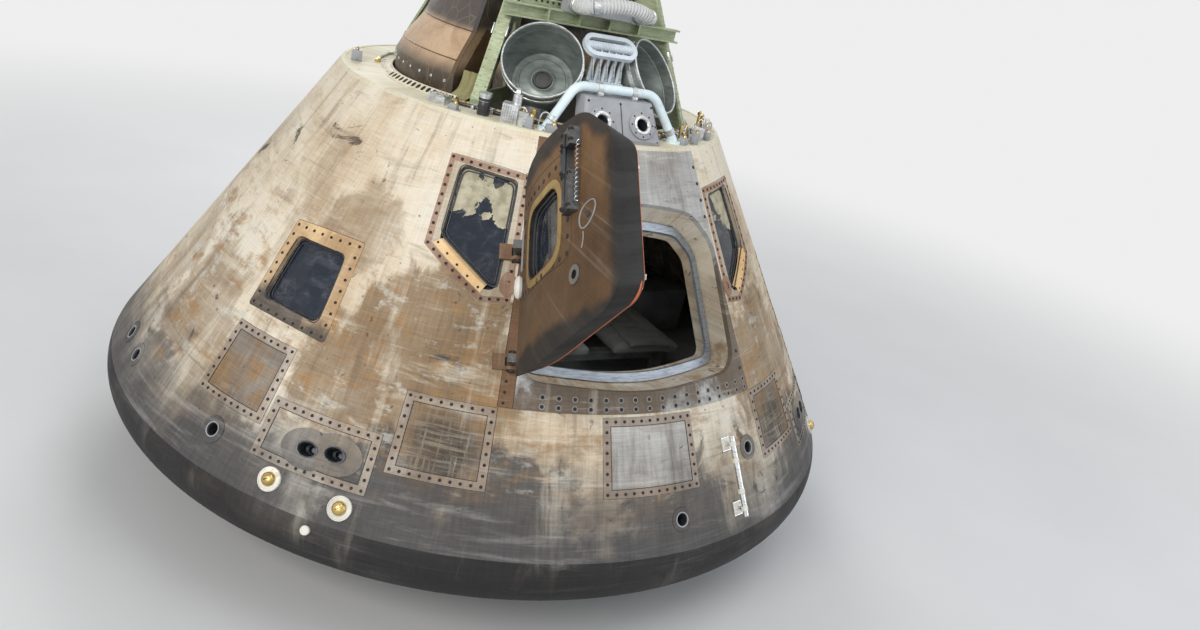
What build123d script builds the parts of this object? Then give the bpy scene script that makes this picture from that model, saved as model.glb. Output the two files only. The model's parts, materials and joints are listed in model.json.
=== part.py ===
from build123d import *
from math import asin, cos, radians, sin, sqrt, tan
import os

# Space capsule: blunt cone on a spherical heat shield, side hatch swung open, nose equipment bared.
# Millimetres. The origin is the lowest point of the heat shield, +Z runs up the axis.
# Azimuth is measured from -Y (the hatch side) towards +X, and depth is measured inwards from the skin.

# Outer form
CONE_HALF = 32.5
WIDEST_Z = 554.36
CORNER_R = 195.6
MAX_R = 1956.0
SEAM_Z = 635.0
RIM_Z = 2126.0
SHIELD_WALL = 62.0
SHELL_WALL = 170.0
SEAT = 0.3

# Skin panels are plates let into the shell
PANEL_DEPTH = 22.0
PANEL_GAP = 2.0

# Side hatch: half widths and slant heights of the outline on the skin
HATCH_BOTTOM_HALF = 565.0
HATCH_BOTTOM_S = 700.0
HATCH_SHOULDER_HALF = 500.0
HATCH_SHOULDER_S = 1285.0
HATCH_TOP_HALF = 350.0
HATCH_TOP_S = 1425.0
HATCH_CORNER_R = 105.0
HATCH_SHOULDER_R = 150.0
HATCH_TOP_R = 150.0
HATCH_FOOT_R = 2000.0
HATCH_LEAST_R = 18.0
HATCH_TAPER = 0.41
HATCH_GAP = 6.0
HATCH_THICK = 105.0
SEAL_LEDGE_DEPTH = 120.0
SEAL_THICK = 12.0
SEAL_LIP = 26.0
GASKET_THICK = 2.4
GASKET_WIDTH = 16.0
LINER_DEEP = 158.0
LINER_GAP = 12.0
SEAL_SIDE = 1.0
SEAL_OVERHANG = 14.0
LATCH_REACH = 30.0
OPEN_ANGLE = 100.5
HINGE_OUT = 25.0
HINGE_SIDE_LOW = 608.0
HINGE_Z_LOW = 1255.0
HINGE_SIDE_HIGH = 529.0
HINGE_Z_HIGH = 1759.0

# Hatch surround
SURROUND_HALF_AZ = 24.0
SURROUND_Z = 1145.0
STRIP_AZ = 21.7

# Windows: azimuth and height of each corner, on the left of the hatch; the right ones mirror them
SIDE_FRAME = [(-68.8, 1558), (-52.4, 1579), (-51.5, 1198), (-68.0, 1202)]
SIDE_GLASS = [(-66.4, 1506), (-55.0, 1514), (-54.0, 1250), (-66.2, 1252)]
FORE_FRAME = [(-42.9, 1991), (-24.5, 1973), (-24.5, 1504), (-29.7, 1491), (-41.9, 1646)]
FORE_GLASS = [(-40.0, 1962), (-26.9, 1945), (-27.2, 1540), (-30.0, 1536), (-39.4, 1672)]
FRAME_R = 14.0
GLASS_R = 38.0
PANE_INSET = 26.0
PANE_THICK = 16.0

# Bolted access panels: name, azimuth from, azimuth to, height from, height to, mirrored
PANELS = [
    ("side_panels", -67.5, -55.0, 860.0, 1145.0, True),
    ("thruster_panels", -54.6, -38.2, 761.0, 975.0, True),
    ("front_panels", -36.9, -23.8, 855.0, 1142.0, True),
    ("hatch_foot_panel", -8.0, 8.0, 850.0, 1136.0, False),
]

# Thruster ports: azimuth, height, throat radius, collar radius, oval stretch, mirrored
PORTS = [
    (-61.2, 768.0, 27.0, 58.0, 1.0, True),
    (-90.5, 771.0, 27.0, 58.0, 1.0, True),
    (-84.1, 757.0, 27.0, 58.0, 1.0, True),
    (20.0, 934.0, 27.0, 58.0, 1.0, False),
    (4.0, 750.0, 27.0, 52.0, 1.0, False),
]
TWIN_PORT_AZ = -45.4
TWIN_PORT_Z = 857.0
TWIN_HALF_PITCH = 58.0
TWIN_COLLAR = (118.0, 82.0)
TWIN_THROAT = (44.0, 30.0)
PORT_DEEP = 95.0
COLLAR_DEEP = 12.0

# Tension tie discs near the seam: azimuth, height, radius, knob radius
TIE_DISCS = [(-50.3, 712.0, 50.0, 20.0), (-40.6, 704.0, 50.0, 20.0), (50.3, 712.0, 50.0, 20.0)]
DISC_PROUD = 8.0
KNOB_PROUD = 22.0

# Handhold beside the hatch
HANDHOLD_AZ = 14.5
HANDHOLD_Z = (700.0, 1010.0)
HANDHOLD_R = 13.0
HANDHOLD_OUT = 48.0
HANDHOLD_STANDOFF = 36.0
HANDHOLD_PAD = (56.0, 62.0, 8.0)

# Nose deck
DECK_RING_WIDE = 256.0
DECK_RING_THICK = 12.0
RING_HOLE_R = 13.0
RING_HOLE_INSET = 45.0
RING_HOLE_STEP = 4.0
RING_HOLES = 14
BULKHEAD_Z = 2030.0
BULKHEAD_THICK = 40.0
TUNNEL_R = 420.0
TUNNEL_BORE = 381.0
TUNNEL_LOW = 1960.0
TUNNEL_TOP = 2880.0
FLANGE_R = 470.0
FLANGE_THICK = 40.0
FLANGE_PCD = 890.0
FLANGE_HOLES = 12
FLANGE_HOLE_R = 7.0

# Gussets between the tunnel and the deck
GUSSET_AZ = 45.0
GUSSET_FOOT_INSET = 191.0
GUSSET_TOP_Z = 2800.0
GUSSET_TOP_R = 500.0
GUSSET_WEB = 14.0
GUSSET_FLANGE = 60.0
GUSSET_FLANGE_THICK = 12.0
GUSSET_POST = 60.0
GUSSET_RIM = 110.0
GUSSET_SILL = 70.0
GUSSET_HEAD = 290.0
GUSSET_FOOT_PLATE = (110.0, 10.0)

# Cross beam on the hatch side
BEAM_Z = 2580.0
BEAM_HEIGHT = 62.0
BEAM_DEPTH = 42.0
BEAM_Y = -475.0
BEAM_WALL = 8.0
BEAM_RIBS = (-0.55, -0.2, 0.15, 0.5)

# Parachute mortar cups
CUP_MOUTH = (305.0, -614.0, 2398.0)
CUP_AZ = 33.0
CUP_TILT = 35.0
CUP_R = 185.0
CUP_BASE_R = 148.0
CUP_DEEP = 215.0
CUP_STRAIGHT = 60.0
CUP_WALL = 7.0
CUP_DISC_R = 46.0
CUP_POST_R = 60.0
CUP_POST_FOOT = (80.0, 12.0)

# Thruster block at the rim
BLOCK_FOOT_HALF = 207.0
BLOCK_TOP_HALF = 176.0
BLOCK_TOP_Z = 2305.0
BLOCK_DEEP = 105.0
BLOCK_INSET = 22.0
BLOCK_PORT_X = 105.0
BLOCK_PORT_Z = 2215.0
BLOCK_PORT_R = 29.0
BLOCK_PORT_DEEP = 90.0
BLOCK_COLLAR_R = 66.0
BLOCK_COLLAR_PROUD = 8.0
BLOCK_EDGE_R = 16.0

# Arched handrail over the block
ARCH_FOOT = (341.0, 94.0)
ARCH_TOP = (207.0, 179.0)
ARCH_OVER = 12.0
ARCH_TUBE_R = 21.0
ARCH_BEND_R = 85.0

# Bay covers over the stowed parachutes
COVER_AZ = [-90.0, 90.0, 180.0]
COVER_SPAN = 64.0
COVER_FOOT_INSET = 13.0
COVER_BAND_Z = 2300.0
COVER_WAIST = (0.63, 2430.0)
COVER_TOP = (0.414, 2640.0)

# Cabin
FLOOR_Z = 700.0
FLOOR_THICK = 30.0
COUCH_X = [-570.0, 0.0, 570.0]
COUCH_WIDTH = 480.0
COUCH_PAD = 70.0
COUCH_Z = 950.0
COUCH_HEAD_Y = -780.0
COUCH_HIP_Y = 0.0
COUCH_KNEE = (120.0, 1330.0)
COUCH_FOOT = (520.0, 1230.0)
COUCH_RAILS = (120.0, 100.0)
LEG = 50.0
CONSOLE_Z = (1640.0, 1985.0)
CONSOLE_Y = (-560.0, -200.0)
CONSOLE_THICK = 130.0
CONSOLE_STEP = 60.0

# Deck units: azimuth, distance inside the rim, then each form's x, y, foot, height and sides or radius
UNITS = [
    (-40.0, 86.0, [(0, 0, 0, 90, (24,)), (0, 0, 88, 14, (29,))]),
    (-53.5, 91.0, [(0, 0, 0, 40, (85, 60))]),
    (-32.5, 86.0, [(0, 0, 0, 84, (70, 70)), (52, 10, 0, 60, (60, 60)), (20, 10, 65, 60, (20,))]),
    (36.0, 86.0, [(0, 0, 0, 60, (90, 60)), (-70, 0, 0, 36, (18,)), (-50, 0, 0, 18, (60, 30))]),
    (55.0, 91.0, [(0, 0, 0, 44, (60, 70)), (0, 0, 39, 30, (20,))]),
]

# Recovery loop over its rack of links
LOOP_CENTRE = (0.0, -655.0, 2500.0)
LOOP_SIZE = (280.0, 118.0)
LOOP_BAR = 22.0
LOOP_TILT = 45.0
LOOP_TUBE_R = 17.0
LINKS = 5
LINK_PITCH = 38.0
LINK_SIZE = (16.0, 12.0)
LINK_LEAN = 8.0
RACK_SIZE = (180.0, 60.0, 34.0)
RACK_Z = 2330.0
RACK_LEG_X = 40.0
RACK_LEG = (26.0, 40.0)

# Vent hose: offsets of its route from the manifold's front face
MANIFOLD = (420.0, 60.0, 72.0)
MANIFOLD_X = 20.0
MANIFOLD_OUT = 24.0
HOSE_R = 33.0
HOSE_X = (-150.0, 40.0, 190.0)
HOSE_REACH = (112.0, 160.0, 108.0)
HOSE_RISE = 44.0
HOSE_BENDS = [62.0, 150.0, 62.0]

# Folded cloth at the foot of the left gusset: azimuth and distance inside the rim
CLOTH_PLACE = (-53.0, 301.0)
CLOTH_FOOT = (90.0, 44.0)
CLOTH_TOP = (60.0, 26.0)
CLOTH_HEIGHT = 130.0
CLOTH_LEAN = (-8.0, -6.0)
CLOTH_APRON = (80.0, 90.0, 20.0)

# Hatch window, port and drive linkage, across and up the slant
HATCH_GLASS = [(-135, 1000), (192, 1000), (192, 1272), (-135, 1272)]
HATCH_FRAME = [(-250, 952), (292, 952), (292, 1215), (235, 1360), (-250, 1360)]
HATCH_FRAME_R = 60.0
HATCH_GLASS_R = 92.0
PANE_SEAT = 16.0
PORT_PLACE = (318.0, 885.0)
HATCH_PORT_R = 34.0
HATCH_PORT_BORE = 15.0
LINKAGE = [((262, 1395), (338, 1330)), ((262, 1340), (292, 1230)), ((270, 1240), (335, 1100))]
LINKAGE_THICK = 64.0
LATCH_COUNT = 18
LATCH_SPREAD = 9.0
LATCH_SHORT = 14.0

# Hinge: places along the line between the two hinge points, and sizes
HINGE_SHARES = (0.12, 0.88)
HINGE_EYE_R = 22.0
HINGE_PIN_R = 9.0
HINGE_PIN_PLAY = 0.08
HINGE_PIN_PROUD = 6.0
HINGE_EYE_WIDE = 34.0
HINGE_EAR_WIDE = 14.0
HINGE_SIDE_GAP = 1.0
HINGE_EAR = (52.0, 60.0)
HINGE_BASE = (50.0, 60.0)
HINGE_ARM_REACH = 150.0
HINGE_ARM_FOOT = 66.0
HINGE_ARM_BAR = (22.0, 70.0)

# Values that follow from the sizes above
TAN_H = tan(radians(CONE_HALF))
COS_H = cos(radians(CONE_HALF))
SIN_H = sin(radians(CONE_HALF))
CORNER_CX = MAX_R - CORNER_R
CORNER_CZ = WIDEST_Z
SHIELD_R = (CORNER_CX ** 2 + CORNER_CZ ** 2 - CORNER_R ** 2) / (2 * (CORNER_CZ - CORNER_R))
TANGENT_R = CORNER_CX + CORNER_R * COS_H
TANGENT_Z = CORNER_CZ + CORNER_R * SIN_H
DECK_Z = RIM_Z + DECK_RING_THICK
BULKHEAD_TOP = BULKHEAD_Z + BULKHEAD_THICK
RIM_R = TANGENT_R - (RIM_Z - TANGENT_Z) * TAN_H
DECK_RING_R = RIM_R - DECK_RING_WIDE
GUSSET_FOOT_R = RIM_R - GUSSET_FOOT_INSET
COVER_FOOT_R = DECK_RING_R - COVER_FOOT_INSET
BIG = 2 * MAX_R


def cone_radius(z, depth=0.0):
    """Radius of the surface that lies depth inside the skin."""
    return TANGENT_R - (z - TANGENT_Z) * TAN_H - depth / COS_H


def skin_point(azimuth, z, depth=0.0):
    r = cone_radius(z) - depth * COS_H
    a = radians(azimuth)
    return Vector(r * sin(a), -r * cos(a), z - depth * SIN_H)


def skin_plane(azimuth, z, depth=0.0):
    """Plane that touches the skin, x round the cone, y up the slant, z outwards."""
    a = radians(azimuth)
    normal = (COS_H * sin(a), -COS_H * cos(a), SIN_H)
    return Plane(origin=skin_point(azimuth, z, depth), x_dir=(cos(a), sin(a), 0), z_dir=normal)


def spin(points, start=0.0, arc=360.0):
    """Turns a profile of (radius, height) points round the axis, from azimuth start over arc."""
    face = make_face(Polyline([(r, 0, z) for r, z in points], close=True))
    return Rotation(0, 0, start - 90) * revolve(face, axis=Axis.Z, revolution_arc=arc)


def patch(az0, az1, z0, z1, near, far):
    """Piece of the cone between two azimuths, two heights and two depths."""
    points = [
        (cone_radius(z0, near), z0),
        (cone_radius(z1, near), z1),
        (cone_radius(z1, far), z1),
        (cone_radius(z0, far), z0),
    ]
    return spin(points, az0, az1 - az0)


def layer(near, far):
    return patch(0, 360, TANGENT_Z, RIM_Z + 200, near, far)


def core(depth):
    """Everything further inside the skin than depth."""
    low, high = TANGENT_Z - 300, RIM_Z + 300
    points = [(0, low), (cone_radius(low, depth), low), (cone_radius(high, depth), high), (0, high)]
    return spin(points)


def window_prism(corners, radius, grow=0.0, reach=220.0):
    """Prism square to the skin through a window outline, grown by a margin."""
    middle_az = sum(c[0] for c in corners) / len(corners)
    middle_z = sum(c[1] for c in corners) / len(corners)
    plane = skin_plane(middle_az, middle_z)
    flat = [plane.to_local_coords(skin_point(az, z)) for az, z in corners]
    outline = FilletPolyline([(p.X, p.Y) for p in flat], radius=radius, close=True)
    face = make_face(outline)
    if grow:
        face = offset(face, amount=grow)
    return plane * extrude(face, amount=reach, both=True)


def mirrored(shape):
    return mirror(shape, about=Plane.YZ)


def hatch_point(x, slant):
    r = TANGENT_R - slant * SIN_H
    return skin_point(0, TANGENT_Z + slant * COS_H) + Vector(x, r - sqrt(r * r - x * x), 0)


HATCH_MID_S = (HATCH_BOTTOM_S + HATCH_TOP_S) / 2
HATCH_PLANE = skin_plane(0, TANGENT_Z + HATCH_MID_S * COS_H)
# Depth of the outline's corners below the plane that touches the skin at the hatch's middle
HATCH_REF = -HATCH_PLANE.to_local_coords(hatch_point(HATCH_BOTTOM_HALF, HATCH_BOTTOM_S)).Z


def grown(points, grow):
    """Corners of a convex outline, listed anticlockwise, with each side moved out by grow."""
    moved = []
    for before, point, after in zip(points[-1:] + points[:-1], points, points[1:] + points[:1]):
        side_in = (point - before).normalized()
        side_out = (after - point).normalized()
        square_in = Vector(side_in.Y, -side_in.X)
        square_out = Vector(side_out.Y, -side_out.X)
        moved.append(point + (square_in + square_out) * (grow / (1 + square_in.dot(square_out))))
    return moved


def hatch_face(grow):
    corners = [
        (-HATCH_BOTTOM_HALF, HATCH_BOTTOM_S, HATCH_CORNER_R),
        (0.0, HATCH_BOTTOM_S, HATCH_FOOT_R),
        (HATCH_BOTTOM_HALF, HATCH_BOTTOM_S, HATCH_CORNER_R),
        (HATCH_SHOULDER_HALF, HATCH_SHOULDER_S, HATCH_SHOULDER_R),
        (HATCH_TOP_HALF, HATCH_TOP_S, HATCH_TOP_R),
        (-HATCH_TOP_HALF, HATCH_TOP_S, HATCH_TOP_R),
        (-HATCH_SHOULDER_HALF, HATCH_SHOULDER_S, HATCH_SHOULDER_R),
    ]
    local = [HATCH_PLANE.to_local_coords(hatch_point(x, s)) for x, s, _ in corners]
    flat = grown([Vector(p.X, p.Y) for p in local], grow)
    bends = [max(c[2] + grow, HATCH_LEAST_R) for c in corners]
    return make_face(FilletPolyline([(p.X, p.Y) for p in flat], radius=bends, close=True))


def hatch_taper(grow):
    """Plug form that narrows inwards, grown by a margin at every depth."""
    top, bottom = -60.0, HATCH_REF + 240.0
    sections = [
        HATCH_PLANE * Pos(0, 0, -d) * hatch_face(grow - HATCH_TAPER * (d - HATCH_REF))
        for d in (top, bottom)
    ]
    return loft(sections, ruled=True)


PARTS = {}


def add(name, shape):
    PARTS[name] = shape


def add_all(name, shapes):
    """Solids of one node that do not touch each other."""
    solids = [solid for shape in shapes for solid in shape.solids()]
    PARTS[name] = Compound(children=solids)


# Aft heat shield: spherical dish with a rolled corner, open towards the cabin
def shield_section(inset):
    r = CORNER_R - inset
    dx, dz = CORNER_CX / (SHIELD_R - CORNER_R), (CORNER_CZ - SHIELD_R) / (SHIELD_R - CORNER_R)
    join = (CORNER_CX + r * dx, CORNER_CZ + r * dz)
    seam = (CORNER_CX + sqrt(r * r - (SEAM_Z - CORNER_CZ) ** 2), SEAM_Z)
    dish_r = SHIELD_R - inset
    half = asin(join[0] / dish_r) / 2
    dish_mid = (dish_r * sin(half), SHIELD_R - dish_r * cos(half))
    corner_mid = (CORNER_CX + r * cos(radians(20)), CORNER_CZ - r * sin(radians(20)))
    return (0.0, inset), dish_mid, join, corner_mid, seam


def spot(point):
    return (point[0], 0, point[1])


def arc_through(a, b, c):
    return ThreePointArc(spot(a), spot(b), spot(c))


outer = shield_section(0.0)
inner = shield_section(SHIELD_WALL)
shield_edges = [
    arc_through(*outer[0:3]),
    arc_through(*outer[2:5]),
    Line(spot(outer[4]), spot(inner[4])),
    arc_through(inner[4], inner[3], inner[2]),
    arc_through(inner[2], inner[1], inner[0]),
    Line(spot(inner[0]), spot(outer[0])),
]
add("aft_heat_shield", revolve(make_face(shield_edges), axis=Axis.Z))

# Crew compartment shell: a cone wall with its foot rounding into the shield
seam_angle = asin((SEAM_Z - CORNER_CZ) / CORNER_R)
mid_angle = (seam_angle + radians(CONE_HALF)) / 2
foot_mid = (CORNER_CX + CORNER_R * cos(mid_angle), CORNER_CZ + CORNER_R * sin(mid_angle))
shell_foot_in = cone_radius(SEAM_Z, SHELL_WALL)
shell_edges = [
    arc_through(outer[4], foot_mid, (TANGENT_R, TANGENT_Z)),
    Polyline([
        (TANGENT_R, 0, TANGENT_Z),
        (cone_radius(RIM_Z), 0, RIM_Z),
        (cone_radius(RIM_Z, SHELL_WALL), 0, RIM_Z),
        (shell_foot_in, 0, SEAM_Z),
        spot(outer[4]),
    ]),
]
shell = revolve(make_face(shell_edges), axis=Axis.Z)

# Hatch opening: bevelled reveal down to a ledge, then straight through the wall
reveal = hatch_taper(HATCH_GAP)
outside_ledge = core(-200) - core(SEAL_LEDGE_DEPTH)
doorway = hatch_taper(-SEAL_LIP)
shell = shell - (reveal & outside_ledge) - doorway

# Surround plate with the strip along its hinge side
surround_pocket = patch(-SURROUND_HALF_AZ, SURROUND_HALF_AZ, SURROUND_Z, RIM_Z + 5, -20, PANEL_DEPTH)
shell = shell - surround_pocket
half_gap = PANEL_GAP / 2
gap_az = PANEL_GAP / cone_radius(SURROUND_Z) / radians(1)
surround = patch(-STRIP_AZ, SURROUND_HALF_AZ - gap_az, SURROUND_Z + PANEL_GAP, RIM_Z, 0, PANEL_DEPTH)
add("hatch_surround", surround - reveal)
strip = patch(-SURROUND_HALF_AZ + gap_az, -STRIP_AZ - gap_az, SURROUND_Z + PANEL_GAP, RIM_Z, 0, PANEL_DEPTH)
add("hinge_strip", strip - reveal)

# Seal frame on the ledge
seal_layer = core(SEAL_LEDGE_DEPTH - SEAL_THICK) - core(SEAL_LEDGE_DEPTH)
seal_outer = hatch_taper(-SEAL_SIDE)
seal_inner = hatch_taper(-SEAL_LIP - SEAL_OVERHANG)
add("hatch_seal_frame", (seal_layer & seal_outer) - seal_inner)

# Windows: bolted frame let into the skin, a stepped opening and a pane
frame_layer = layer(0, PANEL_DEPTH)
pane_layer = layer(PANE_INSET, PANE_INSET + PANE_THICK)
step_layer = layer(-20, PANE_INSET + PANE_THICK)
WINDOWS = [("side_window", SIDE_FRAME, SIDE_GLASS), ("fore_window", FORE_FRAME, FORE_GLASS)]
for window_name, frame_corners, glass_corners in WINDOWS:
    frame_hole = window_prism(frame_corners, FRAME_R)
    frame = window_prism(frame_corners, FRAME_R, -PANEL_GAP)
    glass = window_prism(glass_corners, GLASS_R)
    glass_seat = window_prism(glass_corners, GLASS_R, PANE_SEAT)
    glass_edge = window_prism(glass_corners, GLASS_R, PANE_SEAT - SEAT)
    cut = (frame_hole & layer(-20, PANEL_DEPTH)) + (glass_seat & step_layer) + glass
    ring = (frame & frame_layer) - glass
    pane = glass_edge & pane_layer
    shell = shell - cut - mirrored(cut)
    add_all(window_name + "_frames", [ring, mirrored(ring)])
    add_all(window_name + "_panes", [pane, mirrored(pane)])

# Bolted access panels, and the twin ports in the middle of the thruster panels
def oval_prism(plane, radii, depth):
    face = plane * Ellipse(radii[0], radii[1])
    return extrude(face, amount=-depth) + extrude(face, amount=30)


twin_plane = skin_plane(TWIN_PORT_AZ, TWIN_PORT_Z)
twin_places = [twin_plane * Pos(TWIN_HALF_PITCH * side, 8 * side, 0) for side in (-1, 1)]
twin_bodies = [oval_prism(Plane(place), TWIN_COLLAR, COLLAR_DEEP) for place in twin_places]
twin_collar = (twin_bodies[0] + twin_bodies[1]) & layer(-3, COLLAR_DEEP)
twin_throats = [oval_prism(Plane(place), TWIN_THROAT, PORT_DEEP) for place in twin_places]
twin_hole = twin_throats[0] + twin_throats[1]
twin_seat = (oval_prism(Plane(twin_places[0]), TWIN_COLLAR, COLLAR_DEEP)
             + oval_prism(Plane(twin_places[1]), TWIN_COLLAR, COLLAR_DEEP)) & layer(-30, COLLAR_DEEP)
for panel_name, az0, az1, z0, z1, both_sides in PANELS:
    pocket = patch(az0, az1, z0, z1, -20, PANEL_DEPTH)
    margin_az = PANEL_GAP / cone_radius(z0) / radians(1)
    plate = patch(az0 + margin_az, az1 - margin_az, z0 + PANEL_GAP, z1 - PANEL_GAP, 0, PANEL_DEPTH)
    if panel_name == "thruster_panels":
        plate = plate - twin_seat
        pocket = pocket + twin_hole
        plate = plate - twin_hole
    shell = shell - pocket
    plates = [plate]
    if both_sides:
        shell = shell - mirrored(pocket)
        plates.append(mirrored(plate))
    add_all(panel_name, plates)
twin_ring = twin_collar - twin_hole
add_all("twin_port_collars", [twin_ring, mirrored(twin_ring)])

# Single thruster ports: a collar ring in the skin round a blind throat
collars = []
for az, z, throat_r, collar_r, stretch, both_sides in PORTS:
    plane = skin_plane(az, z)
    hole = oval_prism(plane, (throat_r, throat_r * stretch), PORT_DEEP)
    disc = oval_prism(plane, (collar_r, collar_r * stretch), COLLAR_DEEP)
    seat_disc = oval_prism(plane, (collar_r + 1.0, collar_r * stretch + 1.0), COLLAR_DEEP)
    ring = (disc & layer(-3, COLLAR_DEEP + 5)) - hole
    cut = seat_disc + hole
    shell = shell - cut
    collars.append(ring)
    if both_sides:
        shell = shell - mirrored(cut)
        collars.append(mirrored(ring))
add_all("port_collars", collars)

# Tie discs with a knob in the middle
discs = []
for az, z, disc_r, knob_r in TIE_DISCS:
    plane = skin_plane(az, z, -DISC_PROUD)
    knob_plane = skin_plane(az, z, -KNOB_PROUD)
    disc = plane * Pos(0, 0, -DISC_PROUD - 4) * extrude(Circle(disc_r), amount=DISC_PROUD + 4)
    knob = knob_plane * extrude(Circle(knob_r), amount=-KNOB_PROUD)
    piece = disc + knob
    shell = shell - plane * Pos(0, 0, -DISC_PROUD - 4) * extrude(Circle(disc_r + 1.0), amount=40)
    discs.append(piece)
add_all("tie_discs", discs)

add("crew_shell", shell.solids().sort_by(SortBy.VOLUME)[-1])

# Handhold beside the hatch: a tube on two standoffs
hold_low, hold_high = HANDHOLD_Z
hold_plane = skin_plane(HANDHOLD_AZ, (hold_low + hold_high) / 2)
hold_half = (hold_high - hold_low) / 2 / COS_H


def tube(points, tube_r, bend_r):
    path = FilletPolyline(points, radius=bend_r)
    start = Plane(origin=path @ 0, z_dir=path % 0)
    return sweep(start * Circle(tube_r), path=path)


handhold = hold_plane * Pos(0, 0, HANDHOLD_OUT) * Rotation(90, 0, 0) * Cylinder(HANDHOLD_R, 2 * hold_half)
for side in (-1, 1):
    standoff_y = side * (hold_half - HANDHOLD_STANDOFF)
    standoff = hold_plane * Pos(0, standoff_y, HANDHOLD_OUT / 2) * Cylinder(HANDHOLD_R * 0.8, HANDHOLD_OUT)
    pad = hold_plane * Pos(0, standoff_y, HANDHOLD_PAD[2] / 2) * Box(*HANDHOLD_PAD)
    handhold = handhold + standoff + pad
add("handhold", handhold - core(-SEAT))

# Nose deck: bulkhead, perforated ring and the tunnel through both
bulkhead = spin([
    (TUNNEL_R + SEAT, BULKHEAD_Z),
    (cone_radius(BULKHEAD_Z, SHELL_WALL) - SEAT, BULKHEAD_Z),
    (cone_radius(BULKHEAD_TOP, SHELL_WALL) - SEAT, BULKHEAD_TOP),
    (TUNNEL_R + SEAT, BULKHEAD_TOP),
])
add("forward_bulkhead", bulkhead)
deck_ring = spin([
    (DECK_RING_R, RIM_Z),
    (cone_radius(RIM_Z) - 1.0, RIM_Z),
    (cone_radius(DECK_Z) - 1.0, DECK_Z),
    (DECK_RING_R, DECK_Z),
])
hole_span = RING_HOLE_STEP * (RING_HOLES - 1)
for middle in COVER_AZ:
    for index in range(RING_HOLES):
        place = Rotation(0, 0, middle - 90 - hole_span / 2 + index * RING_HOLE_STEP)
        hole = Pos(DECK_RING_R + RING_HOLE_INSET, 0, RIM_Z) * Cylinder(RING_HOLE_R, 4 * DECK_RING_THICK)
        deck_ring = deck_ring - place * hole
add("deck_ring", deck_ring)
tunnel = spin([
    (TUNNEL_BORE, TUNNEL_LOW),
    (TUNNEL_R, TUNNEL_LOW),
    (TUNNEL_R, TUNNEL_TOP),
    (TUNNEL_BORE, TUNNEL_TOP),
])
add("tunnel", tunnel)
flange = spin([
    (TUNNEL_BORE, TUNNEL_TOP),
    (FLANGE_R, TUNNEL_TOP),
    (FLANGE_R, TUNNEL_TOP + FLANGE_THICK),
    (TUNNEL_BORE, TUNNEL_TOP + FLANGE_THICK),
])
for index in range(FLANGE_HOLES):
    place = Rotation(0, 0, (index + 0.5) * 360 / FLANGE_HOLES)
    hole = Pos(FLANGE_PCD / 2, 0, TUNNEL_TOP + FLANGE_THICK / 2) * Cylinder(FLANGE_HOLE_R, 2 * FLANGE_THICK)
    flange = flange - place * hole
add("docking_flange", flange)

# Gussets: radial web with a window, a sloping flange and a foot
web_points = [
    (TUNNEL_R + SEAT, DECK_Z),
    (GUSSET_FOOT_R, DECK_Z),
    (GUSSET_FOOT_R, DECK_Z + 40),
    (GUSSET_TOP_R, GUSSET_TOP_Z),
    (TUNNEL_R + SEAT, GUSSET_TOP_Z),
]
gusset_window_z = (DECK_Z + GUSSET_SILL, GUSSET_TOP_Z - GUSSET_HEAD)
window_points = [
    (TUNNEL_R + GUSSET_POST, gusset_window_z[0]),
    (GUSSET_FOOT_R - GUSSET_RIM, gusset_window_z[0]),
    (GUSSET_TOP_R + 10, gusset_window_z[1]),
    (TUNNEL_R + GUSSET_POST, gusset_window_z[1]),
]
edge_points = [
    (GUSSET_FOOT_R - GUSSET_FLANGE_THICK, DECK_Z),
    (GUSSET_FOOT_R, DECK_Z),
    (GUSSET_FOOT_R, DECK_Z + 40),
    (GUSSET_TOP_R, GUSSET_TOP_Z),
    (GUSSET_TOP_R - GUSSET_FLANGE_THICK, GUSSET_TOP_Z),
    (GUSSET_FOOT_R - GUSSET_FLANGE_THICK, DECK_Z + 38),
]


def plate_xz(points, width):
    face = make_face(Polyline([(r, 0, z) for r, z in points], close=True))
    return extrude(face, amount=width / 2, both=True)


gusset = plate_xz(web_points, GUSSET_WEB) - plate_xz(window_points, 2 * GUSSET_WEB)
gusset = gusset + plate_xz(edge_points, GUSSET_FLANGE)
foot_length = GUSSET_FOOT_R - DECK_RING_R
foot_wide, foot_thick = GUSSET_FOOT_PLATE
foot_place = Pos(DECK_RING_R + foot_length / 2 + 10, 0, DECK_Z + foot_thick / 2)
foot = foot_place * Box(foot_length + 30, foot_wide, foot_thick)
gusset = gusset + foot
gussets = [Rotation(0, 0, GUSSET_AZ - 90 + turn) * gusset for turn in (0, 90, 180, 270)]
add_all("gussets", gussets)

# Cross beam between the hatch side gussets: a channel with ribs
beam_half = -BEAM_Y - GUSSET_WEB / 2 * sqrt(2) - SEAT
beam_box = Pos(0, BEAM_Y, BEAM_Z) * Box(2 * beam_half, BEAM_DEPTH, BEAM_HEIGHT)
beam_hollow = Pos(0, BEAM_Y - BEAM_WALL, BEAM_Z) * Box(
    2 * beam_half + 10, BEAM_DEPTH, BEAM_HEIGHT - 2 * BEAM_WALL)
beam = beam_box - beam_hollow
for x in BEAM_RIBS:
    beam = beam + Pos(x * beam_half, BEAM_Y, BEAM_Z) * Box(BEAM_WALL, BEAM_DEPTH, BEAM_HEIGHT)
flange_keep = [Rotation(0, 0, GUSSET_AZ - 90 + turn) * plate_xz(edge_points, GUSSET_FLANGE + 2 * SEAT)
               for turn in (0, 270)]
for turn in (0, 270):
    web_keep = plate_xz(web_points, GUSSET_WEB + 2 * SEAT)
    beam = beam - Rotation(0, 0, GUSSET_AZ - 90 + turn) * web_keep
for keep in flange_keep:
    beam = beam - keep
beam = beam.solids().sort_by(SortBy.VOLUME)[-1]
add("cross_beam", beam)

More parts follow.
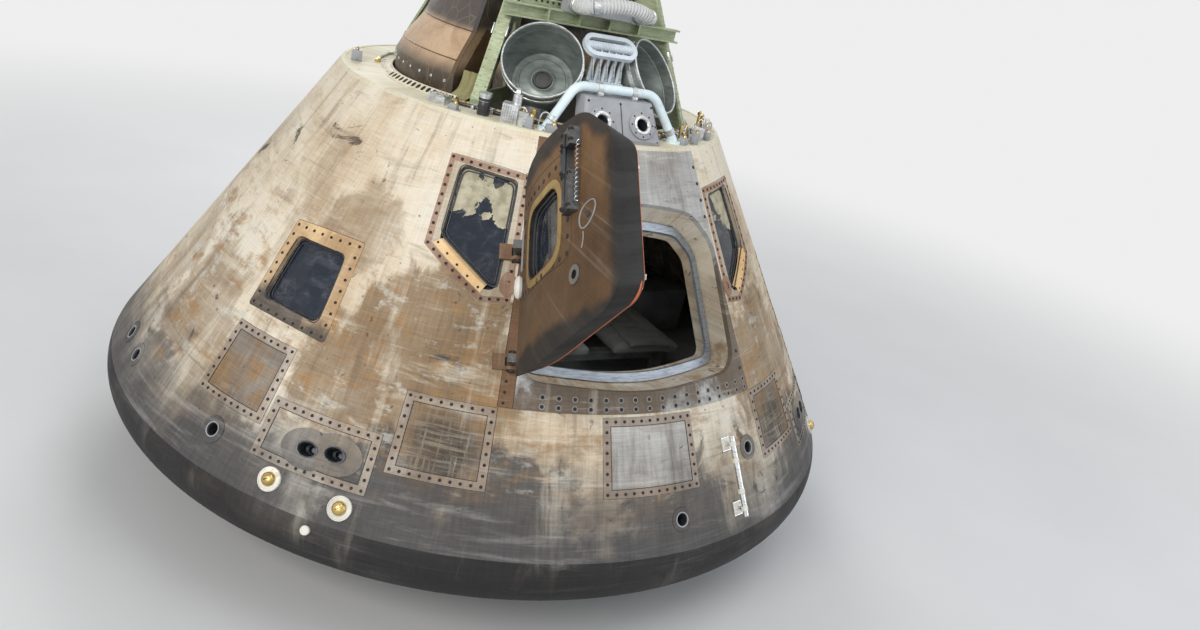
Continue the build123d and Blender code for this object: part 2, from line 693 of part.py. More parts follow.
# Mortar cups: open pots that lean outwards on posts
cup_plane = Plane(
    origin=CUP_MOUTH,
    z_dir=(sin(radians(CUP_AZ)) * cos(radians(CUP_TILT)),
           -cos(radians(CUP_AZ)) * cos(radians(CUP_TILT)), sin(radians(CUP_TILT))),
)
cup_profile = [
    (0, -CUP_DEEP),
    (CUP_BASE_R, -CUP_DEEP),
    (CUP_R, -CUP_STRAIGHT),
    (CUP_R, 0),
    (CUP_R - CUP_WALL, 0),
    (CUP_R - CUP_WALL, -CUP_STRAIGHT),
    (CUP_BASE_R - CUP_WALL, -CUP_DEEP + CUP_WALL),
    (CUP_DISC_R, -CUP_DEEP + CUP_WALL),
    (CUP_DISC_R, -CUP_DEEP + 3 * CUP_WALL),
    (0, -CUP_DEEP + 3 * CUP_WALL),
]
cup_outer = [
    (0, -CUP_DEEP - SEAT),
    (CUP_BASE_R + SEAT, -CUP_DEEP - SEAT),
    (CUP_R + SEAT, -CUP_STRAIGHT),
    (CUP_R + SEAT, 20),
    (0, 20),
]


def turned(profile):
    return revolve(make_face(Polyline([(r, 0, z) for r, z in profile], close=True)), axis=Axis.Z)


cup = cup_plane * turned(cup_profile)
cup_space = cup_plane * turned(cup_outer)
cup_middle = cup_plane * Pos(0, 0, -CUP_DEEP / 2)
post_x, post_y = cup_middle.position.X, cup_middle.position.Y
post_top = CUP_MOUTH[2]
post = Pos(post_x, post_y, (BULKHEAD_TOP + post_top) / 2) * Cylinder(CUP_POST_R, post_top - BULKHEAD_TOP)
post = (post - cup_space).solids().sort_by(Axis.Z)[0]
post_foot = Pos(post_x, post_y, BULKHEAD_TOP + CUP_POST_FOOT[1] / 2) * Cylinder(*CUP_POST_FOOT)
post = post + post_foot
add_all("mortar_cups", [cup, mirrored(cup)])
add_all("cup_posts", [post, mirrored(post)])

# Thruster block at the rim, its face in line with the cone
block_foot_z = DECK_Z
block_front_low = cone_radius(block_foot_z) - BLOCK_INSET
block_front_high = cone_radius(BLOCK_TOP_Z) - BLOCK_INSET
block_low = [
    (-BLOCK_FOOT_HALF, -sqrt(block_front_low ** 2 - BLOCK_FOOT_HALF ** 2)),
    (BLOCK_FOOT_HALF, -sqrt(block_front_low ** 2 - BLOCK_FOOT_HALF ** 2)),
]
block_high = [
    (-BLOCK_TOP_HALF, -sqrt(block_front_high ** 2 - BLOCK_TOP_HALF ** 2)),
    (BLOCK_TOP_HALF, -sqrt(block_front_high ** 2 - BLOCK_TOP_HALF ** 2)),
]


def block_section(front, z):
    (x0, y0), (x1, _) = front
    points = [(x0, y0), (x1, y0), (x1, y0 + BLOCK_DEEP), (x0, y0 + BLOCK_DEEP)]
    return Pos(0, 0, z) * make_face(FilletPolyline(points, radius=BLOCK_EDGE_R, close=True))


block = loft([block_section(block_low, block_foot_z), block_section(block_high, BLOCK_TOP_Z)], ruled=True)
block_lean = (block_high[0][1] - block_low[0][1]) / (BLOCK_TOP_Z - block_foot_z)
face_y = block_low[0][1] + block_lean * (BLOCK_PORT_Z - block_foot_z)
face_normal = (0, -1, block_lean)
for side in (-1, 1):
    block_port = (side * BLOCK_PORT_X, face_y, BLOCK_PORT_Z)
    port_plane = Plane(origin=block_port, x_dir=(1, 0, 0), z_dir=face_normal)
    collar = extrude(Circle(BLOCK_COLLAR_R), amount=BLOCK_COLLAR_PROUD + 4)
    block = block + port_plane * Pos(0, 0, -4) * collar
    throat = extrude(Circle(BLOCK_PORT_R), amount=BLOCK_PORT_DEEP + 30)
    block = block - port_plane * Pos(0, 0, -BLOCK_PORT_DEEP) * throat
add("thruster_block", block)

# Arched handrail over the block
arch_top_z = BLOCK_TOP_Z + ARCH_TUBE_R + ARCH_OVER
arch_foot_y = -sqrt((RIM_R - ARCH_FOOT[1]) ** 2 - ARCH_FOOT[0] ** 2)
arch_top_y = -sqrt((RIM_R - ARCH_TOP[1]) ** 2 - ARCH_TOP[0] ** 2)
arch_points = [
    (-ARCH_FOOT[0], arch_foot_y, DECK_Z + 8),
    (-ARCH_TOP[0], arch_top_y, arch_top_z),
    (ARCH_TOP[0], arch_top_y, arch_top_z),
    (ARCH_FOOT[0], arch_foot_y, DECK_Z + 8),
]
arch = tube(arch_points, ARCH_TUBE_R, ARCH_BEND_R)
for side in (-1, 1):
    arch = arch + Pos(side * ARCH_FOOT[0], arch_foot_y, DECK_Z + 6) * Cylinder(ARCH_TUBE_R + 16, 12)
arch = arch - Pos(0, 0, DECK_Z - 100) * Box(BIG, BIG, 200)
add("arch_handrail", arch)

# Bay covers: bell shaped sectors between the gussets
cover_wide = COVER_FOOT_R - TUNNEL_R
cover_points = [
    (TUNNEL_R + SEAT, BULKHEAD_TOP),
    (COVER_FOOT_R, BULKHEAD_TOP),
    (COVER_FOOT_R, COVER_BAND_Z - 60),
    (COVER_FOOT_R - 25, COVER_BAND_Z),
    (TUNNEL_R + COVER_WAIST[0] * cover_wide, COVER_WAIST[1]),
    (TUNNEL_R + COVER_TOP[0] * cover_wide, COVER_TOP[1]),
    (TUNNEL_R + SEAT, COVER_TOP[1]),
]
add_all("bay_covers", [spin(cover_points, az - COVER_SPAN / 2, COVER_SPAN) for az in COVER_AZ])

# Cabin floor
floor_top = FLOOR_Z + FLOOR_THICK
add("cabin_floor", spin([
    (0, FLOOR_Z),
    (cone_radius(FLOOR_Z, SHELL_WALL) - SEAT, FLOOR_Z),
    (cone_radius(floor_top, SHELL_WALL) - SEAT, floor_top),
    (0, floor_top),
]))

# Couches: back, thigh and calf pads of one bent section, on a legged frame
pad_under = [
    (COUCH_HEAD_Y, COUCH_Z),
    (COUCH_HIP_Y, COUCH_Z),
    COUCH_KNEE,
    COUCH_FOOT,
]
upper = [
    (COUCH_HEAD_Y, COUCH_Z + COUCH_PAD),
    (COUCH_HIP_Y - COUCH_PAD, COUCH_Z + COUCH_PAD),
    (COUCH_KNEE[0] - COUCH_PAD, COUCH_KNEE[1] + COUCH_PAD),
    (COUCH_FOOT[0], COUCH_FOOT[1] + COUCH_PAD),
]
couch_loop = Polyline([(0, y, z) for y, z in pad_under + upper[::-1]], close=True)
couch_face = make_face(couch_loop)
couches = [Pos(x, 0, 0) * extrude(couch_face, amount=COUCH_WIDTH / 2, both=True) for x in COUCH_X]
add_all("couches", couches)
frame_top = COUCH_Z - SEAT
frame_width = COUCH_X[-1] - COUCH_X[0] + COUCH_WIDTH * 0.8
couch_frame = None
rail_y = (COUCH_HEAD_Y + COUCH_RAILS[0], COUCH_HIP_Y - COUCH_RAILS[1])
for y in rail_y:
    rail = Pos(0, y, frame_top - LEG / 2) * Box(frame_width, LEG, LEG)
    couch_frame = rail if couch_frame is None else couch_frame + rail
    for x in (-frame_width / 2 + LEG, frame_width / 2 - LEG):
        leg = Pos(x, y, (floor_top + frame_top) / 2) * Box(LEG, LEG, frame_top - floor_top)
        couch_frame = couch_frame + leg
for x in (-frame_width / 2 + LEG, frame_width / 2 - LEG):
    span = rail_y[1] - rail_y[0]
    side_rail = Pos(x, (rail_y[0] + rail_y[1]) / 2, frame_top - LEG / 2) * Box(LEG, span, LEG)
    couch_frame = couch_frame + side_rail
add("couch_frame", couch_frame)

# Display console across the cabin above the couches
console_points = [
    (CONSOLE_Y[0], CONSOLE_Z[1]),
    (CONSOLE_Y[1], CONSOLE_Z[0]),
    (CONSOLE_Y[1] + CONSOLE_THICK, CONSOLE_Z[0] + CONSOLE_STEP),
    (CONSOLE_Y[0] + CONSOLE_THICK, BULKHEAD_Z - SEAT),
    (CONSOLE_Y[0], BULKHEAD_Z - SEAT),
]
console_face = make_face(Polyline([(0, y, z) for y, z in console_points], close=True))
console = extrude(console_face, amount=BIG / 2, both=True) & core(SHELL_WALL + SEAT)
tunnel_space = Pos(0, 0, BULKHEAD_Z) * Cylinder(TUNNEL_R + 30, 2 * (BULKHEAD_Z - TUNNEL_LOW) + 60)
console = (console - tunnel_space).solids().sort_by(SortBy.VOLUME)[-1]
add("display_console", console)

# Small units on the deck ring, each a few boxes and cans in its own place
def deck_place(azimuth, inset):
    a = radians(azimuth)
    r = RIM_R - inset
    return Location((r * sin(a), -r * cos(a), DECK_Z), (0, 0, azimuth))


units = []
for azimuth, inset, forms in UNITS:
    unit = None
    for x, y, foot, height, size in forms:
        body = Cylinder(size[0], height) if len(size) == 1 else Box(*size, height)
        form = Pos(x, y, foot + height / 2) * body
        unit = form if unit is None else unit + form
    units.append(deck_place(azimuth, inset) * unit)
add_all("deck_units", units)

# Recovery loop: oblong ring with a tube across it, over a rack of links
loop_plane = Plane(origin=LOOP_CENTRE, x_dir=(1, 0, 0),
                   z_dir=(0, -sin(radians(LOOP_TILT)), cos(radians(LOOP_TILT))))
loop_long, loop_wide = LOOP_SIZE
loop_hole = SlotOverall(loop_long - 2 * LOOP_BAR, loop_wide - 2 * LOOP_BAR)
loop_face = SlotOverall(loop_long, loop_wide) - loop_hole
loop_ring = loop_plane * extrude(loop_face, amount=LOOP_BAR / 2, both=True)
loop_tube = loop_plane * Rotation(0, 90, 0) * Cylinder(LOOP_TUBE_R, LOOP_SIZE[0] - LOOP_BAR)
rack_top = RACK_Z + RACK_SIZE[2] / 2
rack = Pos(0, LOOP_CENTRE[1], RACK_Z) * Box(*RACK_SIZE)
rack_leg_height = RACK_Z - BULKHEAD_TOP
for side in (-1, 1):
    leg_z = BULKHEAD_TOP + rack_leg_height / 2
    leg = Pos(side * RACK_LEG_X, LOOP_CENTRE[1], leg_z) * Box(*RACK_LEG, rack_leg_height)
    rack = rack + leg
for index in range(LINKS):
    x = (index - (LINKS - 1) / 2) * LINK_PITCH
    link_height = LOOP_CENTRE[2] - rack_top - 10
    link_place = Pos(x, LOOP_CENTRE[1], rack_top + link_height / 2) * Rotation(0, LINK_LEAN, 0)
    link = link_place * Box(*LINK_SIZE, link_height + 20)
    rack = rack + link
rack = rack + loop_ring + loop_tube
add("recovery_loop", rack)

# Vent hose: a thick lagged hose that rises from the beam and doubles back
manifold_y = BEAM_Y - MANIFOLD_OUT
hose_root = manifold_y - MANIFOLD[1] / 2 - SEAT
hose_z = BEAM_Z + (BEAM_HEIGHT + MANIFOLD[2]) / 2
HOSE_POINTS = [
    (HOSE_X[0], hose_root, hose_z),
    (HOSE_X[0], hose_root - HOSE_REACH[0], hose_z),
    (HOSE_X[1], hose_root - HOSE_REACH[1], hose_z + HOSE_RISE),
    (HOSE_X[2], hose_root - HOSE_REACH[2], hose_z),
    (HOSE_X[2], hose_root, hose_z),
]
manifold = Pos(MANIFOLD_X, manifold_y, hose_z) * Box(*MANIFOLD)
hose = tube(HOSE_POINTS, HOSE_R, HOSE_BENDS)
add("hose_manifold", manifold)
add("vent_hose", hose)

# Folded cloth at the foot of the left gusset
cloth_place = deck_place(*CLOTH_PLACE)
cloth = cloth_place * loft([
    Pos(0, 0, SEAT) * Rectangle(*CLOTH_FOOT),
    Pos(*CLOTH_LEAN, CLOTH_HEIGHT) * Rectangle(*CLOTH_TOP),
], ruled=True)
cloth = cloth + cloth_place * Pos(0, -CLOTH_APRON[1] / 2 + 5, CLOTH_APRON[2] / 2 + SEAT) * Box(*CLOTH_APRON)
add("cloth_flap", cloth)

# Side hatch, modelled shut, then swung open about its hinge line
hatch_form = hatch_taper(0.0)
hatch_outer = core(0) - core(HATCH_THICK)
hatch_skin = hatch_form & hatch_outer


def hatch_window(corners, radius, grow=0.0):
    flat = [HATCH_PLANE.to_local_coords(hatch_point(x, s)) for x, s in corners]
    face = make_face(FilletPolyline([(p.X, p.Y) for p in flat], radius=radius, close=True))
    face = offset(face, amount=grow) if grow else face
    return HATCH_PLANE * extrude(face, amount=400, both=True)


frame_hole = hatch_window(HATCH_FRAME, HATCH_FRAME_R)
frame_plate = hatch_window(HATCH_FRAME, HATCH_FRAME_R, -PANEL_GAP)
pane_hole = hatch_window(HATCH_GLASS, HATCH_GLASS_R)
pane_seat = hatch_window(HATCH_GLASS, HATCH_GLASS_R, PANE_SEAT)
pane_edge = hatch_window(HATCH_GLASS, HATCH_GLASS_R, PANE_SEAT - SEAT)
hatch_skin = hatch_skin - (frame_hole & layer(-20, PANEL_DEPTH))
hatch_skin = hatch_skin - (pane_seat & step_layer) - pane_hole
port_at = hatch_point(*PORT_PLACE)
port_az = asin(port_at.X / sqrt(port_at.X ** 2 + port_at.Y ** 2)) / radians(1)
hatch_port_plane = skin_plane(port_az, port_at.Z)
hatch_port = oval_prism(hatch_port_plane, (HATCH_PORT_R, HATCH_PORT_R), COLLAR_DEEP) & layer(-3, COLLAR_DEEP)
hatch_bore = oval_prism(hatch_port_plane, (HATCH_PORT_BORE, HATCH_PORT_BORE), 60)
port_seat_r = HATCH_PORT_R + 1
hatch_port = hatch_port - hatch_bore
hatch_skin = hatch_skin - oval_prism(hatch_port_plane, (port_seat_r, port_seat_r), COLLAR_DEEP) - hatch_bore

# Gasket round the back of the hatch, then the liner with its latches inside the seal frame
gasket_layer = core(HATCH_THICK) - core(HATCH_THICK + GASKET_THICK)
gasket_out = hatch_form
gasket_in = hatch_taper(-GASKET_WIDTH)
gasket = (gasket_out & gasket_layer) - gasket_in
liner_form = hatch_taper(-SEAL_LIP - SEAL_OVERHANG - LINER_GAP - LATCH_REACH)
latch_form = hatch_taper(-SEAL_LIP - SEAL_OVERHANG - LINER_GAP)
liner = (liner_form & (core(HATCH_THICK) - core(LINER_DEEP))) - pane_hole
latch_band = (latch_form - liner_form) & (core(HATCH_THICK) - core(LINER_DEEP - LATCH_SHORT))
latch_cuts = []
for index in range(LATCH_COUNT):
    angle = 360 / LATCH_COUNT * (index + 0.5)
    wedge_face = make_face(Polyline([
        (0, 0),
        (BIG * cos(radians(angle - LATCH_SPREAD / 2)), BIG * sin(radians(angle - LATCH_SPREAD / 2))),
        (BIG * cos(radians(angle + LATCH_SPREAD / 2)), BIG * sin(radians(angle + LATCH_SPREAD / 2))),
    ], close=True))
    latch_cuts.append(HATCH_PLANE * Pos(0, 0, -400) * extrude(wedge_face, amount=500))
latches = [latch_band & wedge for wedge in latch_cuts]

# Hinge: ears and pin on the strip, arm and eye on the hatch
def hinge_point(side, z):
    return Vector(-side, -sqrt(cone_radius(z, -HINGE_OUT) ** 2 - side * side), z)


hinge_low = hinge_point(HINGE_SIDE_LOW, HINGE_Z_LOW)
hinge_high = hinge_point(HINGE_SIDE_HIGH, HINGE_Z_HIGH)
hinge_dir = (hinge_high - hinge_low).normalized()
HINGE_AXIS = Axis(hinge_low, hinge_dir)


def hinge_plane(share):
    """Plane across the hinge line, x towards the hatch, y away from the skin."""
    at = hinge_low + (hinge_high - hinge_low) * share
    level = Vector(at.X, at.Y, 0).normalized() * COS_H
    outward = Vector(level.X, level.Y, SIN_H)
    return Plane(origin=at, x_dir=hinge_dir.cross(outward), z_dir=hinge_dir * -1)


skin_keep = core(-SEAT)
brackets = []
arms = []
for share in HINGE_SHARES:
    plane = hinge_plane(share)
    ear_face = Circle(HINGE_EYE_R) + Pos(-HINGE_EAR[0] / 2, -HINGE_EAR[1] / 2) * Rectangle(*HINGE_EAR)
    ear_offset = HINGE_EYE_WIDE / 2 + HINGE_SIDE_GAP
    ear = extrude(ear_face, amount=HINGE_EAR_WIDE)
    bracket = plane * Pos(0, 0, ear_offset) * ear
    bracket = bracket + plane * Pos(0, 0, -ear_offset - HINGE_EAR_WIDE) * ear
    pin_length = 2 * (ear_offset + HINGE_EAR_WIDE + HINGE_PIN_PROUD)
    bracket = bracket + plane * Cylinder(HINGE_PIN_R, pin_length)
    base_x = -HINGE_EAR[0] / 2 - HINGE_BASE[0] / 2
    base = plane * Pos(base_x, -HINGE_BASE[1] / 2, 0) * Box(*HINGE_BASE, 2 * (ear_offset + HINGE_EAR_WIDE))
    bracket = (bracket + base) - skin_keep
    brackets.append(bracket.solids().sort_by(SortBy.VOLUME)[-1])
    bar_wide, foot_deep = HINGE_ARM_BAR
    arm_bar = Pos(HINGE_ARM_REACH / 2, 5 - bar_wide / 2) * Rectangle(HINGE_ARM_REACH, bar_wide)
    foot_x = HINGE_ARM_REACH - HINGE_ARM_FOOT / 2
    arm_foot = Pos(foot_x, -foot_deep / 2) * Rectangle(HINGE_ARM_FOOT, foot_deep)
    arm_face = Circle(HINGE_EYE_R) + arm_bar + arm_foot
    arm = plane * extrude(arm_face, amount=HINGE_EYE_WIDE / 2, both=True)
    arm = arm - plane * Cylinder(HINGE_PIN_R + HINGE_PIN_PLAY, 2 * HINGE_EYE_WIDE) - skin_keep
    arms.append(arm.solids().sort_by(SortBy.VOLUME)[-1])
add_all("hinge_brackets", brackets)

# Drive linkage on the outside of the hatch
linkage = None
for (x0, s0), (x1, s1) in LINKAGE:
    low = HATCH_PLANE.to_local_coords(hatch_point((x0 + x1) / 2, (s0 + s1) / 2))
    bar = HATCH_PLANE * Pos(low.X, low.Y, low.Z) * Box(x1 - x0, s0 - s1, LINKAGE_THICK)
    linkage = bar if linkage is None else linkage + bar
linkage = (linkage - skin_keep).solids().sort_by(SortBy.VOLUME)[-1]

HATCH = {
    "hatch_shell": [hatch_skin],
    "hatch_window_frame": [(frame_plate & layer(0, PANEL_DEPTH)) - pane_hole],
    "hatch_pane": [pane_edge & pane_layer],
    "hatch_gasket": [gasket],
    "hatch_liner": [liner],
    "hatch_latches": latches,
    "hatch_port": [hatch_port],
    "hatch_linkage": [linkage],
    "hatch_arms": arms,
}
for name, shapes in HATCH.items():
    add_all(name, [shape.rotate(HINGE_AXIS, -OPEN_ANGLE) for shape in shapes])

os.makedirs("parts", exist_ok=True)
for name, shape in PARTS.items():
    export_step(shape, "parts/" + name + ".step")
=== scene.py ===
"""Looks of a three seat space capsule, its nose open and its side hatch swung out."""

import json
import logging
import math
from collections.abc import Callable, Iterable, Sequence
from dataclasses import dataclass, field
from enum import Enum
from functools import partial

import bmesh
import bpy
from mathutils import Matrix, Vector

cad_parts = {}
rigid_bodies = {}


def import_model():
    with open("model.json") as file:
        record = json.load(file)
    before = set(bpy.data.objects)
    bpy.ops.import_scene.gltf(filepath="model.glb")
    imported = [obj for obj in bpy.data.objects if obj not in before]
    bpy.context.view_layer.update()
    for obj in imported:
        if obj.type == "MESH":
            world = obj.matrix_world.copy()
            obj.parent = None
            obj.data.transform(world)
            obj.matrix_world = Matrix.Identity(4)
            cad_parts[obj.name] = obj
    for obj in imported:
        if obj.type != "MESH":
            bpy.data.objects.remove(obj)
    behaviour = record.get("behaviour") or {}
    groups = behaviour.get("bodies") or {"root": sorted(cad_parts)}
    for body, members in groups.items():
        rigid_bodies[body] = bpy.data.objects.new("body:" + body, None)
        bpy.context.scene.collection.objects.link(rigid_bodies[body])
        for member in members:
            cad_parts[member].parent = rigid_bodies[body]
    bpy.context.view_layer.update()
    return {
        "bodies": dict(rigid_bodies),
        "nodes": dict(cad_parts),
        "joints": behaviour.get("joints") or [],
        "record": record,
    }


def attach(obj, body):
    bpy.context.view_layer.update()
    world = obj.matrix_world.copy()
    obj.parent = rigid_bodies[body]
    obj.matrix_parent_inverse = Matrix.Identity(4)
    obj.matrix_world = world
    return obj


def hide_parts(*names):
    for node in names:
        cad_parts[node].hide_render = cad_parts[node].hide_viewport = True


LOG = logging.getLogger("capsule")
CAPSULE = "capsule"
HATCH = "side_hatch"
SMOOTH = math.radians(35)
WELD = 1e-5
POINT = 1e-6
BEND_SHARE = 0.45
FACING = 0.9
Pair = tuple[float, float]
Triple = tuple[float, float, float]
Point = Sequence[float]
Outline = Sequence[Pair]
Colour = Triple
Stops = Sequence[tuple[float, Colour]]
Piece = bpy.types.Object
Socket = bpy.types.NodeSocket
Material = bpy.types.Material


class Start(Enum):
    """Primitive that a shape is modelled from."""

    GRID = "primitive_grid_add"
    CUBE = "primitive_cube_add"
    DISC = "primitive_cylinder_add"
    RING = "primitive_torus_add"
    CIRCLE = "primitive_circle_add"


def corners_of(line: Sequence[Vector]) -> Iterable[tuple[Vector, Vector, Vector]]:
    """Each point of a closed line between its two neighbours."""
    return zip(line[-1:] + line[:-1], line, line[1:] + line[:1])


def grown(line: Sequence[Vector], by: float) -> list[Vector]:
    """Closed flat line moved to the right of its way by a distance."""
    moved = []
    for before, here, after in corners_of(line):
        one, two = (here - before).normalized(), (after - here).normalized()
        side, other = Vector((one.y, -one.x)), Vector((two.y, -two.x))
        moved.append(here + (side + other) * (by / (1 + side.dot(other))))
    return moved


def bends(line: Sequence[Vector], radii: Sequence[float], steps: int) -> list[Vector]:
    """Closed flat line with its corners rounded.

    Args:
        line: the corners.
        radii: radius at each corner, less where its sides are short.
        steps: faces along each bend.

    Returns:
        Points along the rounded line.
    """
    found = []
    for radius, (before, here, after) in zip(radii, corners_of(line)):
        one, two = before - here, after - here
        reach = radius / math.tan(one.angle(two) / 2)
        reach = min(reach, one.length * BEND_SHARE, two.length * BEND_SHARE)
        start, end = here + one.normalized() * reach, here + two.normalized() * reach
        for step in range(steps + 1):
            t = step / steps
            found.append(start * (1 - t) ** 2 + here * 2 * t * (1 - t) + end * t ** 2)
    return found


@dataclass(frozen=True)
class Cone:
    """Outer surface of the crew shell: azimuth from the hatch in degrees, height in metres."""

    half: float = math.radians(32.5)
    foot_r: float = 1.92537
    foot_z: float = 0.65946

    def radius(self, z: float) -> float:
        """Radius of the skin at a height."""
        return self.foot_r - (z - self.foot_z) * math.tan(self.half)

    def matrix(self, azimuth: float, z: float, out: float = 0.0) -> Matrix:
        """Place on the skin.

        Args:
            azimuth: angle round the axis, 0 at the hatch.
            z: height of the place.
            out: distance off the skin along its normal.

        Returns:
            Matrix with x round the cone, y up the slant and z outwards.
        """
        a, c, s = math.radians(azimuth), math.cos(self.half), math.sin(self.half)
        across = Vector((math.cos(a), math.sin(a), 0))
        up = Vector((-s * math.sin(a), s * math.cos(a), c))
        normal = across.cross(up)
        r = self.radius(z)
        spot = Vector((r * math.sin(a), -r * math.cos(a), z)) + normal * out
        turn = Matrix((across, up, normal)).transposed().to_4x4()
        return Matrix.Translation(spot) @ turn

    def point(self, azimuth: float, z: float, out: float = 0.0) -> Vector:
        """Point on the skin, or off it by out."""
        return self.matrix(azimuth, z, out).translation

    def walk(self, corners: Outline, pitch: float, closed: bool = True) -> list[Pair]:
        """Places at an even pitch along an outline.

        Args:
            corners: azimuth and height of the outline's corners.
            pitch: distance between neighbours.
            closed: whether the last corner joins the first.

        Returns:
            Azimuth and height of each place.
        """
        places = []
        ends = list(corners[1:]) + ([corners[0]] if closed else [])
        for (a0, z0), (a1, z1) in zip(corners, ends):
            count = max(1, round((self.point(a0, z0) - self.point(a1, z1)).length / pitch))
            for step in range(count):
                t = step / count
                places.append((a0 + (a1 - a0) * t, z0 + (z1 - z0) * t))
        if not closed:
            places.append(corners[-1])
        return places

    def inset(self, corners: Outline, by: float) -> list[Pair]:
        """Outline moved in by a distance along the skin.

        Args:
            corners: azimuth and height of the outline's corners, either way round.
            by: distance that each side moves towards the middle.

        Returns:
            Azimuth and height of the moved corners.
        """
        mid_z = sum(z for _, z in corners) / len(corners)
        r, c = self.radius(mid_z), math.cos(self.half)
        flat = [Vector((math.radians(a) * r, z / c)) for a, z in corners]
        turn = sum(p.x * q.y - q.x * p.y for p, q in zip(flat, flat[1:] + flat[:1]))
        moved = grown(flat, -by if turn > 0 else by)
        return [(math.degrees(spot.x / r), spot.y * c) for spot in moved]

    def rounded(self, corners: Outline, radius: float, steps: int = 4) -> list[Pair]:
        """Outline with its corners rounded.

        Args:
            corners: azimuth and height of the corners.
            radius: radius of each bend on the skin.
            steps: points along each bend.

        Returns:
            Azimuth and height along the rounded outline.
        """
        r = self.radius(sum(z for _, z in corners) / len(corners))
        c = math.cos(self.half)
        flat = [Vector((math.radians(a) * r, z / c)) for a, z in corners]
        bent = bends(flat, [radius] * len(flat), steps)
        return [(math.degrees(spot.x / r), spot.y * c) for spot in bent]

    def on_hatch(self, x: float, slant: float) -> Pair:
        """Azimuth and height of a point on the shut hatch, across and up the slant."""
        z = self.foot_z + slant * math.cos(self.half)
        return math.degrees(math.asin(x / self.radius(z))), z


CONE = Cone()


class Shape:
    """One mesh as it is modelled by hand: a primitive, then steps in edit mode."""

    def __init__(self, start: Start, **settings: object) -> None:
        """Adds the primitive alone in edit mode, all of it selected."""
        if bpy.context.mode != "OBJECT":
            bpy.ops.object.mode_set(mode="OBJECT")
        bpy.ops.object.select_all(action="DESELECT")
        getattr(bpy.ops.mesh, start.value)(**settings)
        self.piece = bpy.context.active_object
        bpy.ops.object.transform_apply(location=True, rotation=True, scale=True)
        bpy.ops.object.mode_set(mode="EDIT")
        bpy.ops.mesh.select_mode(type="FACE")

    @property
    def mesh(self) -> bmesh.types.BMesh:
        """Edit mode mesh, its index tables fresh."""
        found = bmesh.from_edit_mesh(self.piece.data)
        found.faces.ensure_lookup_table()
        return found

    def faces(self, test: Callable[[Vector, Vector], bool]) -> "Shape":
        """Selects the faces whose centre and normal pass a test."""
        bpy.ops.mesh.select_mode(type="FACE")
        bpy.ops.mesh.select_all(action="DESELECT")
        for face in self.mesh.faces:
            face.select_set(test(face.calc_center_median(), face.normal))
        bmesh.update_edit_mesh(self.piece.data)
        return self

    def facing(self, axis: int, way: int = 1) -> "Shape":
        """Selects the faces that look one way along an axis."""
        return self.faces(lambda _, normal: normal[axis] * way > FACING)

    def edges(self, test: Callable[[Vector, Vector], bool]) -> "Shape":
        """Selects the edges whose two ends pass a test."""
        bpy.ops.mesh.select_mode(type="EDGE")
        bpy.ops.mesh.select_all(action="DESELECT")
        for edge in self.mesh.edges:
            edge.select_set(test(edge.verts[0].co, edge.verts[1].co))
        bmesh.update_edit_mesh(self.piece.data)
        return self

    def all(self) -> "Shape":
        """Selects everything."""
        bpy.ops.mesh.select_all(action="SELECT")
        return self

    def extrude(self, move: Point) -> "Shape":
        """Extrudes the selection by a move."""
        bpy.ops.mesh.extrude_region_move(TRANSFORM_OT_translate={"value": tuple(move)})
        return self

    def inset(self, width: float, depth: float = 0.0) -> "Shape":
        """Insets the selected faces."""
        bpy.ops.mesh.inset(thickness=width, depth=depth)
        return self

    def bevel(self, width: float, segments: int = 2) -> "Shape":
        """Bevels the selected edges."""
        bpy.ops.mesh.bevel(offset=width, segments=segments, affect="EDGES")
        return self

    def resize(self, value: Point, centre: Point = (0, 0, 0)) -> "Shape":
        """Scales the selection about a centre."""
        bpy.ops.transform.resize(value=tuple(value), center_override=tuple(centre))
        return self

    def move(self, rule: Callable[[Vector], Vector]) -> "Shape":
        """Moves every vertex by a rule of its place."""
        mesh = self.mesh
        for vertex in mesh.verts:
            vertex.co = rule(vertex.co.copy())
        bmesh.update_edit_mesh(self.piece.data)
        return self

    def outwards(self) -> "Shape":
        """Merges doubles and turns every face outwards."""
        bpy.ops.mesh.select_all(action="SELECT")
        bpy.ops.mesh.remove_doubles(threshold=WELD)
        bpy.ops.mesh.normals_make_consistent(inside=False)
        return self

    def done(self, place: Matrix | None = None) -> Piece:
        """Leaves edit mode and moves the mesh to its place."""
        bpy.ops.object.mode_set(mode="OBJECT")
        if place is not None:
            self.piece.data.transform(place)
        return self.piece


def activate(piece: Piece, *others: Piece) -> None:
    """Selects these pieces alone, the first of them active."""
    bpy.ops.object.select_all(action="DESELECT")
    for one in (piece, *others):
        one.select_set(True)
    bpy.context.view_layer.objects.active = piece


def modify(piece: Piece, kind: str, **settings: object) -> Piece:
    """Adds one modifier and applies it.

    Args:
        piece: mesh object that gets it.
        kind: Blender's type name of the modifier.
        settings: values of its settings.

    Returns:
        The same piece.
    """
    activate(piece)
    modifier = piece.modifiers.new(kind.lower(), kind)
    for key, value in settings.items():
        setattr(modifier, key, value)
    bpy.ops.object.modifier_apply(modifier=modifier.name)
    return piece


def joined(pieces: Sequence[Piece]) -> Piece:
    """Joins several meshes into the first."""
    activate(*pieces)
    if len(pieces) > 1:
        bpy.ops.object.join()
    return pieces[0]


def copied(model: Piece, places: Iterable[Matrix]) -> Piece:
    """Copies a modelled piece to every place and joins the copies.

    Args:
        model: piece modelled at the origin, which is used up.
        places: matrix of each copy.

    Returns:
        One object holding all the copies.
    """
    made = []
    for place in places:
        twin = model.copy()
        twin.data = model.data.copy()
        twin.data.transform(place)
        bpy.context.collection.objects.link(twin)
        made.append(twin)
    bpy.data.objects.remove(model)
    return joined(made)


